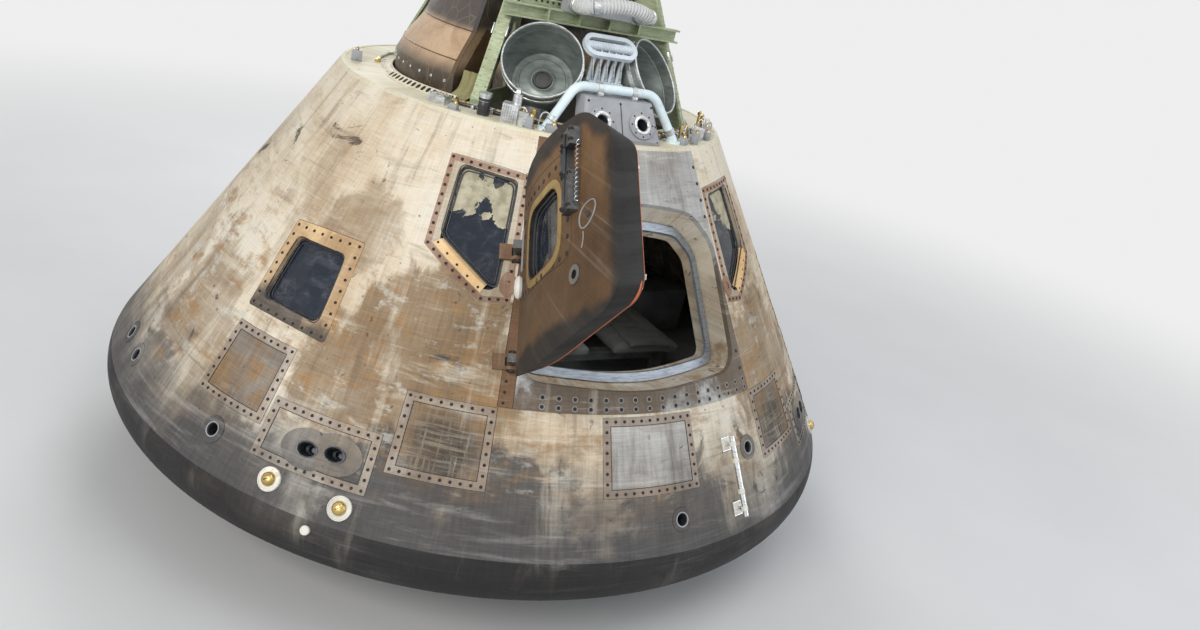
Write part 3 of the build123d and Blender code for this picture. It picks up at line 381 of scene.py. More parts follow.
def tube(points: Sequence[Point], radius: float, sides: int = 3, closed: bool = False) -> Piece:
    """Round bar or pipe along a smooth curve.

    Args:
        points: control points of the curve, the ends included.
        radius: radius of the bar.
        sides: bevel resolution of its section.
        closed: whether it is a ring.

    Returns:
        The bar as a mesh.
    """
    bpy.ops.object.select_all(action="DESELECT")
    bpy.ops.curve.primitive_nurbs_path_add(location=(0, 0, 0))
    path = bpy.context.active_object
    spline = path.data.splines[0]
    spline.points.add(max(0, len(points) - len(spline.points)))
    while len(spline.points) > len(points):
        path.data.splines.remove(spline)
        spline = path.data.splines.new("NURBS")
        spline.points.add(len(points) - 1)
    for spot, point in zip(spline.points, points):
        spot.co = (*point, 1)
    spline.order_u = min(4, len(points))
    spline.use_endpoint_u, spline.use_cyclic_u = not closed, closed
    spline.resolution_u = 4 if len(points) > 12 else 8
    path.data.bevel_depth = radius
    path.data.bevel_resolution = sides
    path.data.use_fill_caps = not closed
    bpy.ops.object.convert(target="MESH")
    return bpy.context.active_object


def turned(profile: Outline, sides: int = 32) -> Shape:
    """Round piece: a circle extruded and resized along a profile.

    Args:
        profile: radius and height of each ring, a radius of 0 for a closed end.
        sides: corners of the circle.

    Returns:
        The shape, still in edit mode.
    """
    radius, height = max(profile[0][0], POINT), profile[0][1]
    shape = Shape(Start.CIRCLE, vertices=sides, radius=radius, location=(0, 0, height))
    bpy.ops.mesh.select_mode(type="EDGE")
    shape.all()
    for wide, high in profile[1:]:
        wide = max(wide, POINT)
        shape.extrude((0, 0, high - height)).resize((wide / radius, wide / radius, 1))
        radius, height = wide, high
    return shape.outwards()


def lathe(sides: int, *profile: float) -> Shape:
    """Round piece by its profile in millimetres: radius and height of each ring in turn."""
    sizes = [size / 1000 for size in profile]
    return turned(list(zip(sizes[::2], sizes[1::2])), sides)


def block(size: Point, bevel: float = 0.004, segments: int = 2) -> Shape:
    """Box with all its edges bevelled."""
    shape = Shape(Start.CUBE, size=1, scale=tuple(size))
    return shape.edges(lambda a, b: True).bevel(min(bevel, min(size) * 0.3), segments)


def band(first: Outline, second: Outline, out: float = -0.0004, thick: float = 0.0016,
        steps: int = 6) -> Piece:
    """Closed strip on the skin between two outlines.

    Args:
        first: azimuth and height of one outline's corners.
        second: as many corners of the other.
        out: height of its underside over the skin.
        thick: its thickness.
        steps: faces along each side.

    Returns:
        The strip.
    """
    count = len(first) * steps
    shape = Shape(Start.GRID, x_subdivisions=count, y_subdivisions=1, size=1)

    def rule(co: Vector) -> Vector:
        """Lays one vertex on its outline."""
        side, part = divmod(round((co.x + 0.5) * count) % count, steps)
        line = first if co.y < 0 else second
        (a0, z0), (a1, z1) = line[side], line[(side + 1) % len(line)]
        return CONE.point(a0 + (a1 - a0) * part / steps, z0 + (z1 - z0) * part / steps, out)

    shape.move(rule).outwards()
    face = shape.mesh.faces[0]
    spot = face.calc_center_median()
    if face.normal.dot(Vector((spot.x, spot.y, 1))) < 0:
        bpy.ops.mesh.flip_normals()
    return modify(shape.done(), "SOLIDIFY", thickness=thick, offset=1.0)


def run(points: Sequence[Point], closed: bool = False) -> list[Vector]:
    """Points along the smooth curve that control points give."""
    data = bpy.data.curves.new("run", "CURVE")
    data.dimensions = "3D"
    spline = data.splines.new("NURBS")
    spline.points.add(len(points) - 1)
    for spot, point in zip(spline.points, points):
        spot.co = (*point, 1)
    spline.order_u = min(4, len(points))
    spline.use_endpoint_u, spline.use_cyclic_u, spline.resolution_u = not closed, closed, 12
    line = bpy.data.objects.new("run", data)
    mesh = bpy.data.meshes.new_from_object(line)
    found = [vertex.co.copy() for vertex in mesh.vertices]
    bpy.data.objects.remove(line)
    bpy.data.meshes.remove(mesh)
    return found + found[:1] if closed else found


def stations(points: Sequence[Point], pitch: float, closed: bool = False) -> list[Matrix]:
    """Places at an even pitch along a smooth curve, z along it.

    Args:
        points: control points of the curve.
        pitch: distance between neighbours.
        closed: whether the curve is a ring.

    Returns:
        Matrix of each place.
    """
    line = run(points, closed)
    places, left = [], 0.0
    for here, there in zip(line, line[1:]):
        step = there - here
        while left <= step.length:
            places.append(aimed(here + step * (left / step.length), step))
            left += pitch
        left -= step.length
    return places


def both(outline: Outline) -> list[list[Pair]]:
    """Outline left of the hatch and its twin on the right."""
    return [list(outline), [(-a, z) for a, z in outline]]


def at(x: float, y: float, z: float) -> Matrix:
    """Move to a point."""
    return Matrix.Translation((x, y, z))


def turn(degrees: float, axis: str) -> Matrix:
    """Turn about one axis."""
    return Matrix.Rotation(math.radians(degrees), 4, axis)


def aimed(spot: Point, way: Vector, along: str = "Z", up: str = "Y") -> Matrix:
    """Place whose one axis points along a way."""
    return Matrix.Translation(spot) @ way.to_track_quat(along, up).to_matrix().to_4x4()


def around(azimuth: float, radius: float, z: float) -> Matrix:
    """Place round the capsule's axis, x round it and y inwards."""
    return turn(azimuth, "Z") @ at(0, -radius, z)


def bar(start: Point, end: Point, radius: float) -> Piece:
    """Straight round bar between two points, its ends rounded off."""
    a, b = Vector(start), Vector(end)
    long = (b - a).length
    rim = min(radius * 0.3, long * 0.2)
    rod = turned([(0, 0), (radius - rim, 0), (radius, rim), (radius, long - rim),
        (radius - rim, long), (0, long)], 16)
    return rod.done(aimed(a, b - a))


def screw(radius: float, proud: float, sides: int = 12) -> Piece:
    """Domed screw or rivet head with a sunk middle."""
    return turned([(radius, -proud), (radius, proud * 0.4), (radius * 0.8, proud),
        (radius * 0.35, proud), (radius * 0.3, proud * 0.4), (0, proud * 0.4)], sides).done()


class Graph:
    """Short calls that wire one procedural material."""

    def __init__(self, name: str) -> None:
        """Starts a material with its shader and the object's own coordinates."""
        self.material = bpy.data.materials.new(name)
        self.material.use_nodes = True
        self.tree = self.material.node_tree
        self.shader = self.tree.nodes["Principled BSDF"]
        self.place = self.add("ShaderNodeTexCoord", {}).outputs["Object"]

    def add(self, kind: str, inputs: dict, **settings: object) -> bpy.types.Node:
        """Adds a node.

        Args:
            kind: Blender's node type.
            inputs: socket name or number to a value or another node's socket.
            settings: the node's own settings.

        Returns:
            The new node.
        """
        node = self.tree.nodes.new(kind)
        for key, value in settings.items():
            setattr(node, key, value)
        for key, value in inputs.items():
            if isinstance(value, Socket):
                self.tree.links.new(value, node.inputs[key])
            else:
                node.inputs[key].default_value = value
        return node

    def noise(self, scale: float, detail: float = 4.0, rough: float = 0.55, warp: float = 0.0,
            at: Socket | None = None) -> Socket:
        """Noise value between 0 and 1 over the surface."""
        inputs = {"Vector": at or self.place, "Scale": scale, "Detail": detail, "Roughness": rough,
            "Distortion": warp}
        return self.add("ShaderNodeTexNoise", inputs).outputs[0]

    def stretched(self, x: float, y: float, z: float, turn: Point = (0, 0, 0)) -> Socket:
        """Object coordinates scaled by axis, turned first."""
        inputs = {"Vector": self.place, "Rotation": tuple(turn), "Scale": (x, y, z)}
        return self.add("ShaderNodeMapping", inputs).outputs[0]

    def round_axis(self, across: float, up: float) -> Socket:
        """Coordinates that run round the cone's axis and up it, with no seam."""
        x, y, z = self.add("ShaderNodeSeparateXYZ", {0: self.place}).outputs
        flat = self.add("ShaderNodeCombineXYZ", {0: x, 1: y}).outputs[0]
        unit = self.add("ShaderNodeVectorMath", {0: flat}, operation="NORMALIZE").outputs[0]
        wide = self.add("ShaderNodeVectorMath", {0: unit, "Scale": across},
            operation="SCALE").outputs[0]
        high = self.add("ShaderNodeCombineXYZ", {2: self.times(z, up)}).outputs[0]
        return self.add("ShaderNodeVectorMath", {0: wide, 1: high}, operation="ADD").outputs[0]

    def streaks(self, across: float, up: float, detail: float = 4, rough: float = 0.65,
            warp: float = 0.0) -> Socket:
        """Noise drawn out round the cone or up it."""
        return self.noise(1.0, detail, rough, warp, self.round_axis(across, up))

    def height(self) -> Socket:
        """Height over the floor."""
        return self.add("ShaderNodeSeparateXYZ", {0: self.place}).outputs[2]

    def math(self, operation: str, a: object, b: object = 0.0) -> Socket:
        """One sum on two values."""
        return self.add("ShaderNodeMath", {0: a, 1: b}, operation=operation).outputs[0]

    def times(self, a: object, b: object) -> Socket:
        """Product of two values."""
        return self.math("MULTIPLY", a, b)

    def vector(self, operation: str, a: object, b: object = (0.0, 0.0, 0.0)) -> Socket:
        """Number that two vectors give, such as their distance."""
        return self.add("ShaderNodeVectorMath", {0: a, 1: b}, operation=operation).outputs[1]

    def wave(self, scale: float, direction: str, detail: float, **inputs: object) -> Socket:
        """Stripes that run along one direction."""
        inputs = {"Vector": self.place, "Scale": scale, "Detail": detail, **inputs}
        return self.add("ShaderNodeTexWave", inputs, bands_direction=direction).outputs[1]

    def ease(self, value: object, low: float, high: float, to: Pair = (0.0, 1.0)) -> Socket:
        """Value eased from one range to another."""
        inputs = {"Value": value, "From Min": low, "From Max": high, "To Min": to[0],
            "To Max": to[1]}
        node = self.add("ShaderNodeMapRange", inputs, interpolation_type="SMOOTHSTEP")
        return node.outputs[0]

    def ramp(self, value: Socket, stops: Stops) -> Socket:
        """Colour ramp over a value."""
        node = self.add("ShaderNodeValToRGB", {0: value})
        line = node.color_ramp.elements
        while len(line) < len(stops):
            line.new(0.5)
        for element, (spot, colour) in zip(line, stops):
            element.position = spot
            element.color = (*colour, 1)
        return node.outputs[0]

    def mix(self, share: object, first: object, second: object, blend: str = "MIX") -> Socket:
        """Mixes two colours by a share."""
        inputs = {0: share}
        for slot, colour in ((6, first), (7, second)):
            inputs[slot] = (*colour, 1) if isinstance(colour, tuple) else colour
        node = self.add("ShaderNodeMix", inputs, data_type="RGBA", blend_type=blend)
        return node.outputs[2]

    def bump(self, height: Socket, strength: float, distance: float,
            under: Socket | None = None) -> Socket:
        """Bumps the surface by a height, over an earlier bump if there is one."""
        inputs = {"Height": height, "Strength": strength, "Distance": distance}
        if under is not None:
            inputs["Normal"] = under
        return self.add("ShaderNodeBump", inputs).outputs[0]

    def finish(self, inputs: dict) -> Material:
        """Sets or links the shader's sockets and gives the material."""
        for key, value in inputs.items():
            if isinstance(value, Socket):
                self.tree.links.new(value, self.shader.inputs[key])
            else:
                self.shader.inputs[key].default_value = value
        return self.material


@dataclass(frozen=True)
class Finish:
    """One kind of surface under its material's name."""

    name: str

    def inputs(self, g: Graph) -> dict:
        """Gives the shader its inputs."""
        raise NotImplementedError

    def build(self) -> Material:
        """Makes the material."""
        g = Graph(self.name)
        return g.finish(self.inputs(g))


def tones(*colours: Colour, at: Sequence[float] = (0.3, 0.5, 0.7)) -> Stops:
    """Stops of a colour ramp."""
    return tuple(zip(at, colours))


@dataclass(frozen=True)
class Ablator(Finish):
    """Charred and bleached heat shield skin: tone patches, brushed streaks, soot low down."""

    tones: Stops
    patch: Colour = (0.26, 0.18, 0.105)
    patch_share: float = 0.5
    patch_span: Pair = (0.7, 1.7)
    blots: Sequence[tuple[float, float, float, float]] = ()
    scorches: Sequence[tuple[float, float, float, float]] = ()
    soot: Colour = (0.075, 0.073, 0.074)
    soot_span: Pair = (0.63, 1.1)
    streak: float = 0.45
    spot: float = 0.6
    rough: Pair = (0.6, 0.85)
    relief: float = 0.4
    mottle: float = 0.0
    mottle_span: Pair = (0.82, 1.52)
    plaid_at: Outline = ()
    away: Colour | None = None
    edge: Colour = (0.014, 0.0135, 0.013)
    edge_planes: Sequence[tuple[float, float, float, float]] = ()

    def blotched(self, g: Graph, colour: Socket) -> Socket:
        """Small rust and bleached blotches, longer round the cone than up it."""
        low, high = self.mottle_span
        z = g.height()
        level = g.times(g.ease(z, low - 0.12, low + 0.1), g.ease(z, high + 0.3, high - 0.2))
        level = g.ease(level, 0, 1, (0.12 * self.mottle, self.mottle))
        spread = g.streaks(8.5, 12, 8, 0.7, 0.25)
        rust = g.times(g.ease(spread, 0.5, 0.66), level)
        colour = g.mix(rust, colour, (0.36, 0.215, 0.095))
        other = g.streaks(11, 17, 8, 0.7, 0.2)
        pale = g.times(g.ease(other, 0.55, 0.64), g.ease(level, 0, 1, (0.25, 0.8)))
        return g.mix(g.times(pale, self.mottle), colour, (0.6, 0.59, 0.53))

    def plaid(self, g: Graph, colour: Socket) -> Socket:
        """Dark charred weave round the finish's own places."""
        up = g.streaks(120, 9)
        over = g.streaks(9, 105)
        weave = g.ease(g.math("MAXIMUM", up, over), 0.46, 0.7)
        tone = g.mix(weave, (0.045, 0.042, 0.039), (0.28, 0.25, 0.2))
        torn = g.times(g.noise(9, 5, 0.6), 0.12)
        for azimuth, height in self.plaid_at:
            far = g.vector("DISTANCE", g.place, tuple(CONE.point(azimuth, height)))
            near = g.ease(g.math("ADD", far, torn), 0.26, 0.14, (0.0, 0.85))
            colour = g.mix(near, colour, tone)
        return colour

    def edged(self, g: Graph, colour: Socket, around: Socket) -> Socket:
        """Charred side faces, and a dark ragged border along the face's edges."""
        rim = g.mix(g.ease(around, 0.4, 0.65), self.edge, tuple(c * 2 for c in self.edge))
        reach: object = -1.0
        for x, y, z, d in self.edge_planes:
            along = g.vector("DOT_PRODUCT", g.place, (x, y, z))
            reach = g.math("MAXIMUM", reach, g.math("SUBTRACT", along, d))
        ragged = g.times(g.noise(7, 6, 0.62, 0.5), 0.07)
        border = g.ease(g.math("ADD", reach, ragged), -0.022, 0.02, (0.0, 0.9))
        colour = g.mix(border, colour, rim)
        normal = g.add("ShaderNodeTexCoord", {}).outputs["Normal"]
        facing = g.vector("DOT_PRODUCT", normal, self.away)
        return g.mix(g.ease(facing, 0.85, 0.75), colour, rim)

    def stains(self, g: Graph, colour: Socket, drift: Socket) -> Socket:
        """Brown patches within a span of heights and round the finish's own places."""
        z = g.height()
        low, high = self.patch_span
        level = g.times(g.ease(z, low - 0.3, low), g.ease(z, high + 0.35, high))
        share = g.times(g.ease(drift, 0.47, 0.58), level)
        colour = g.mix(g.times(share, self.patch_share), colour, self.patch)
        torn = g.noise(5.5, 8, 0.66, 0.7)
        marks = [(self.patch, *blot) for blot in self.blots]
        marks += [(self.soot, *scorch) for scorch in self.scorches]
        for tone, azimuth, height, reach, strength in marks:
            far = g.vector("DISTANCE", g.place, tuple(CONE.point(azimuth, height)))
            near = g.ease(far, reach, reach * 0.25)
            share = g.ease(g.math("ADD", g.times(near, 0.45), torn), 0.62, 0.8)
            colour = g.mix(g.times(share, strength), colour, tone)
        return colour

    def inputs(self, g: Graph) -> dict:
        """Gives the shader its inputs."""
        cloud = g.noise(1.1, 6, 0.6, 0.3)
        colour = g.ramp(cloud, self.tones)
        drift = g.noise(2.6, 7, 0.62, 0.5)
        colour = self.stains(g, colour, drift)
        if self.mottle:
            colour = self.blotched(g, colour)
        if self.plaid_at:
            colour = self.plaid(g, colour)
        upward = g.streaks(15, 1.5, 6, 0.6, 0.4)
        around = g.streaks(2.6, 17, 6, 0.68, 0.5)
        for value, span in ((upward, (0.54, 0.7)), (around, (0.56, 0.72))):
            lift = g.times(g.ease(value, *span), self.streak)
            colour = g.mix(lift, colour, (0.78, 0.72, 0.6))
            drop = g.times(g.ease(value, 0.47, 0.3), self.streak)
            colour = g.mix(drop, colour, (0.16, 0.11, 0.07))
        wander = g.math("ADD", g.height(), g.times(g.noise(2.4, 7, 0.66, 0.3), 0.7))
        wander = g.math("ADD", wander, g.times(upward, 0.25))
        low, high = self.soot_span
        soot = g.ease(wander, high + 0.475, low + 0.475, (0.0, 0.96))
        tone = g.mix(g.ease(around, 0.5, 0.68), self.soot, tuple(c * 2.2 for c in self.soot))
        colour = g.mix(soot, colour, tone)
        fibre_up = g.streaks(150, 9, 3, 0.6)
        fibre_over = g.streaks(14, 190, 3, 0.6)
        weave = g.math("ADD", g.times(fibre_up, 0.5), g.times(fibre_over, 0.5))
        threads = g.ramp(weave, ((0.36, (0.34, 0.32, 0.29)), (0.5, (0.52, 0.51, 0.5)),
            (0.64, (0.7, 0.69, 0.67))))
        colour = g.mix(0.45, colour, threads, "OVERLAY")
        pits = g.noise(38, 2, 0.5)
        dark = g.times(g.ease(pits, 0.7, 0.76), self.spot)
        colour = g.mix(dark, colour, (0.05, 0.035, 0.025))
        if self.away is not None:
            colour = self.edged(g, colour, around)
        relief = g.bump(cloud, 0.25 * self.relief, 0.03)
        relief = g.bump(weave, self.relief, 0.003, relief)
        relief = g.bump(g.ease(pits, 0.78, 0.68), self.relief, 0.002, relief)
        return {"Base Color": colour, "Normal": relief, "Specular IOR Level": 0.3,
            "Roughness": g.ease(drift, 0.3, 0.7, self.rough)}


@dataclass(frozen=True)
class Metal(Finish):
    """Bare, plated or primed metal with handling marks and a little stain."""

    colour: Colour
    stain: Colour = (0.12, 0.1, 0.08)
    metallic: float = 0.9
    rough: Pair = (0.28, 0.5)
    stained: float = 0.35
    grain: Triple = (20, 20, 160)

    def inputs(self, g: Graph) -> dict:
        """Gives the shader its inputs."""
        cloud = g.noise(7, 6, 0.6, 0.4)
        scratch = g.noise(1.0, 4, 0.7, 0.0, g.stretched(*self.grain))
        lighter = tuple(min(1.0, c * 1.25 + 0.02) for c in self.colour)
        darker = tuple(c * 0.6 for c in self.colour)
        colour = g.ramp(scratch, ((0.3, darker), (0.5, self.colour), (0.72, lighter)))
        share = g.times(g.ease(cloud, 0.5, 0.66), self.stained)
        colour = g.mix(share, colour, self.stain)
        rough = g.ease(g.math("ADD", g.times(cloud, 0.6), g.times(scratch, 0.4)), 0.35, 0.62,
            self.rough)
        relief = g.bump(scratch, 0.12, 0.001)
        return {"Base Color": colour, "Roughness": rough, "Normal": relief,
            "Metallic": self.metallic}


@dataclass(frozen=True)
class Film(Finish):
    """Crinkled metallised film or foil over a cover."""

    colour: Colour
    fold: Colour
    low: Colour
    band: Pair = (2.22, 2.32)
    metallic: float = 0.35
    shine: float = 0.3
    crown: Pair = (2.44, 2.49)

    def inputs(self, g: Graph) -> dict:
        """Gives the shader its inputs."""
        crinkle = g.add("ShaderNodeTexVoronoi", {"Vector": g.stretched(9, 9, 6), "Scale": 1.6},
            feature="DISTANCE_TO_EDGE").outputs[0]
        soft = g.noise(6, 6, 0.6, 0.8)
        colour = g.ramp(soft, ((0.3, self.fold), (0.55, self.colour), (0.8, self.colour)))
        wander = g.math("ADD", g.height(), g.times(g.noise(3, 4), 0.06))
        lower = g.ease(wander, self.band[1] + 0.03, self.band[0] + 0.03)
        colour = g.mix(g.times(lower, 0.9), colour, self.low)
        colour = g.mix(g.ease(wander, *self.crown, (0.0, 0.92)), colour, (0.05, 0.048, 0.05))
        crease = g.ease(crinkle, 0.0, 0.05)
        colour = g.mix(g.ease(crinkle, 0.03, 0.0, (0.0, 0.35)), colour, self.fold)
        relief = g.bump(soft, 0.5, 0.02)
        relief = g.bump(crease, 0.25, 0.004, relief)
        return {"Base Color": colour, "Normal": relief, "Metallic": self.metallic,
            "Roughness": g.ease(soft, 0.3, 0.7, (0.32, 0.6)), "Coat Weight": self.shine,
            "Coat Roughness": 0.2}


@dataclass(frozen=True)
class Cloth(Finish):
    """Woven cloth with thread, slubs and soiling."""

    colour: Colour
    soil: Colour
    threads: float = 420.0
    rough: float = 0.85

    def inputs(self, g: Graph) -> dict:
        """Gives the shader its inputs."""
        warp = g.wave(self.threads, "X", 1.0, Vector=g.stretched(1, 1, 0.15), Distortion=0.6)
        weft = g.wave(self.threads, "Z", 1.0, Vector=g.stretched(0.15, 0.15, 1), Distortion=0.6)
        weave = g.math("MAXIMUM", warp, weft)
        cloud = g.noise(9, 5, 0.6)
        dark = tuple(c * 0.62 for c in self.colour)
        colour = g.mix(g.ease(weave, 0.2, 0.9), dark, self.colour)
        colour = g.mix(g.ease(cloud, 0.48, 0.75, (0.0, 0.6)), colour, self.soil)
        relief = g.bump(cloud, 0.3, 0.006)
        relief = g.bump(weave, 0.5, 0.0006, relief)
        return {"Base Color": colour, "Normal": relief, "Roughness": g.ease(weave, 0, 1,
            (self.rough, self.rough - 0.12)), "Sheen Weight": 0.25, "Sheen Roughness": 0.5}


@dataclass(frozen=True)
class Paint(Finish):
    """Flat paint, rubber or moulded plastic with scuffs and dust."""

    colour: Colour
    worn: Colour
    wear: float = 0.4
    rough: Pair = (0.4, 0.65)
    grain: float = 60.0

    def inputs(self, g: Graph) -> dict:
        """Gives the shader its inputs."""
        cloud = g.noise(6, 6, 0.62, 0.4)
        fine = g.noise(self.grain, 4, 0.6)
        pale = tuple(min(1.0, c * 1.18 + 0.01) for c in self.colour)
        dark = tuple(c * 0.75 for c in self.colour)
        colour = g.ramp(cloud, tones(dark, self.colour, pale))
        chips = g.times(g.ease(cloud, 0.55, 0.62), g.ease(fine, 0.5, 0.6))
        colour = g.mix(g.times(chips, self.wear), colour, self.worn)
        relief = g.bump(fine, 0.15, 0.0015)
        return {"Base Color": colour, "Normal": relief, "Roughness": g.ease(fine, 0.3, 0.7,
            self.rough)}


@dataclass(frozen=True)
class Glass(Finish):
    """Dark window glass with dust, and where it is coated the remains of a peeled layer."""

    tint: Colour = (0.016, 0.024, 0.042)
    coating: Colour = (0.5, 0.46, 0.33)
    coated: bool = False

    def inputs(self, g: Graph) -> dict:
        """Gives the shader its inputs."""
        dust = g.ease(g.noise(14, 6, 0.7, 0.4), 0.45, 0.8, (0.0, 0.16))
        smear = g.ease(g.noise(1.0, 4, 0.6, 0.0, g.stretched(3, 3, 26, (0.5, 0.3, 0.2))), 0.56, 0.7,
            (0.0, 0.1))
        colour = g.mix(g.math("ADD", dust, smear), self.tint, (0.45, 0.47, 0.5))
        if not self.coated:
            return {"Base Color": colour, "Roughness": 0.06, "IOR": 1.5,
                "Alpha": g.ease(dust, 0, 0.16, (0.62, 0.9))}
        flake = g.noise(7.2, 7, 0.6, 0.5)
        level = g.ease(g.height(), 1.66, 1.8)
        peel = g.ease(g.times(flake, level), 0.472, 0.48)
        tone = g.ramp(g.noise(22, 4), ((0.35, (0.3, 0.27, 0.18)), (0.6, self.coating)))
        alpha = g.math("MAXIMUM", g.ease(dust, 0, 0.16, (0.62, 0.9)), peel)
        return {"Base Color": g.mix(peel, colour, tone), "Alpha": alpha, "IOR": 1.5,
            "Roughness": g.ease(peel, 0, 1, (0.06, 0.6))}


@dataclass(frozen=True)
class MeshScreen(Finish):
    """Dark woven wire screen over a plug."""

    wire: Colour = (0.12, 0.12, 0.12)
    gap: Colour = (0.012, 0.012, 0.012)
    scale: float = 240.0

    def inputs(self, g: Graph) -> dict:
        """Gives the shader its inputs."""
        wires = g.math("MAXIMUM", *(g.wave(self.scale, way, 0.5) for way in ("X", "DIAGONAL")))
        colour = g.mix(g.ease(wires, 0.45, 0.8), self.gap, self.wire)
        return {"Base Color": colour, "Normal": g.bump(wires, 0.4, 0.001),
            "Roughness": g.ease(g.noise(9), 0.3, 0.7, (0.4, 0.6)), "Metallic": 0.5}


SKIN_TONES = ((0.3, (0.42, 0.3, 0.19)), (0.42, (0.62, 0.51, 0.37)), (0.54, (0.76, 0.68, 0.55)),
    (0.72, (0.72, 0.7, 0.65)))
# Hatch char tones: rust-brown char, darkened below the hatch's own colour as painted shade for the
# shade that the swung hatch hangs in.
HATCH_RUST_AND_SHADE_TONES = ((0.3, (0.045, 0.026, 0.014)), (0.45, (0.1, 0.055, 0.025)), (0.6, (0.18, 0.1, 0.043)),
    (0.78, (0.27, 0.165, 0.08)))
HATCH_EDGES = ((-0.161, -0.628, -0.761, 0.075), (-0.143, -0.67, 0.729, 3.141),
    (0.032, 0.058, 0.998, 2.282), (0.161, 0.628, 0.761, 0.642), (0.226, 0.949, 0.221, -0.835),
    (0.179, 0.809, -0.56, -2.03))
BLOTS = ((-36, 1.3, 0.55, 0.9), (-47, 1.12, 0.4, 0.85), (-28, 1.2, 0.4, 0.85),
    (-55, 1.62, 0.3, 0.6), (-78, 1.1, 0.45, 0.6), (35, 1.2, 0.6, 0.8), (70, 1.4, 0.6, 0.7),
    (130, 1.3, 0.8, 0.8), (-140, 1.2, 0.8, 0.8), (180, 1.6, 0.5, 0.6))
SCORCHES = ((-37, 0.74, 0.42, 0.95), (-63, 0.6, 0.3, 0.9), (-20, 0.72, 0.5, 0.9),
    (-54, 0.68, 0.32, 0.7), (5, 0.7, 0.5, 0.8), (38, 0.72, 0.5, 0.8), (-78, 0.7, 0.4, 0.6),
    (80, 0.7, 0.5, 0.7), (140, 0.7, 0.6, 0.7), (-130, 0.72, 0.6, 0.7))
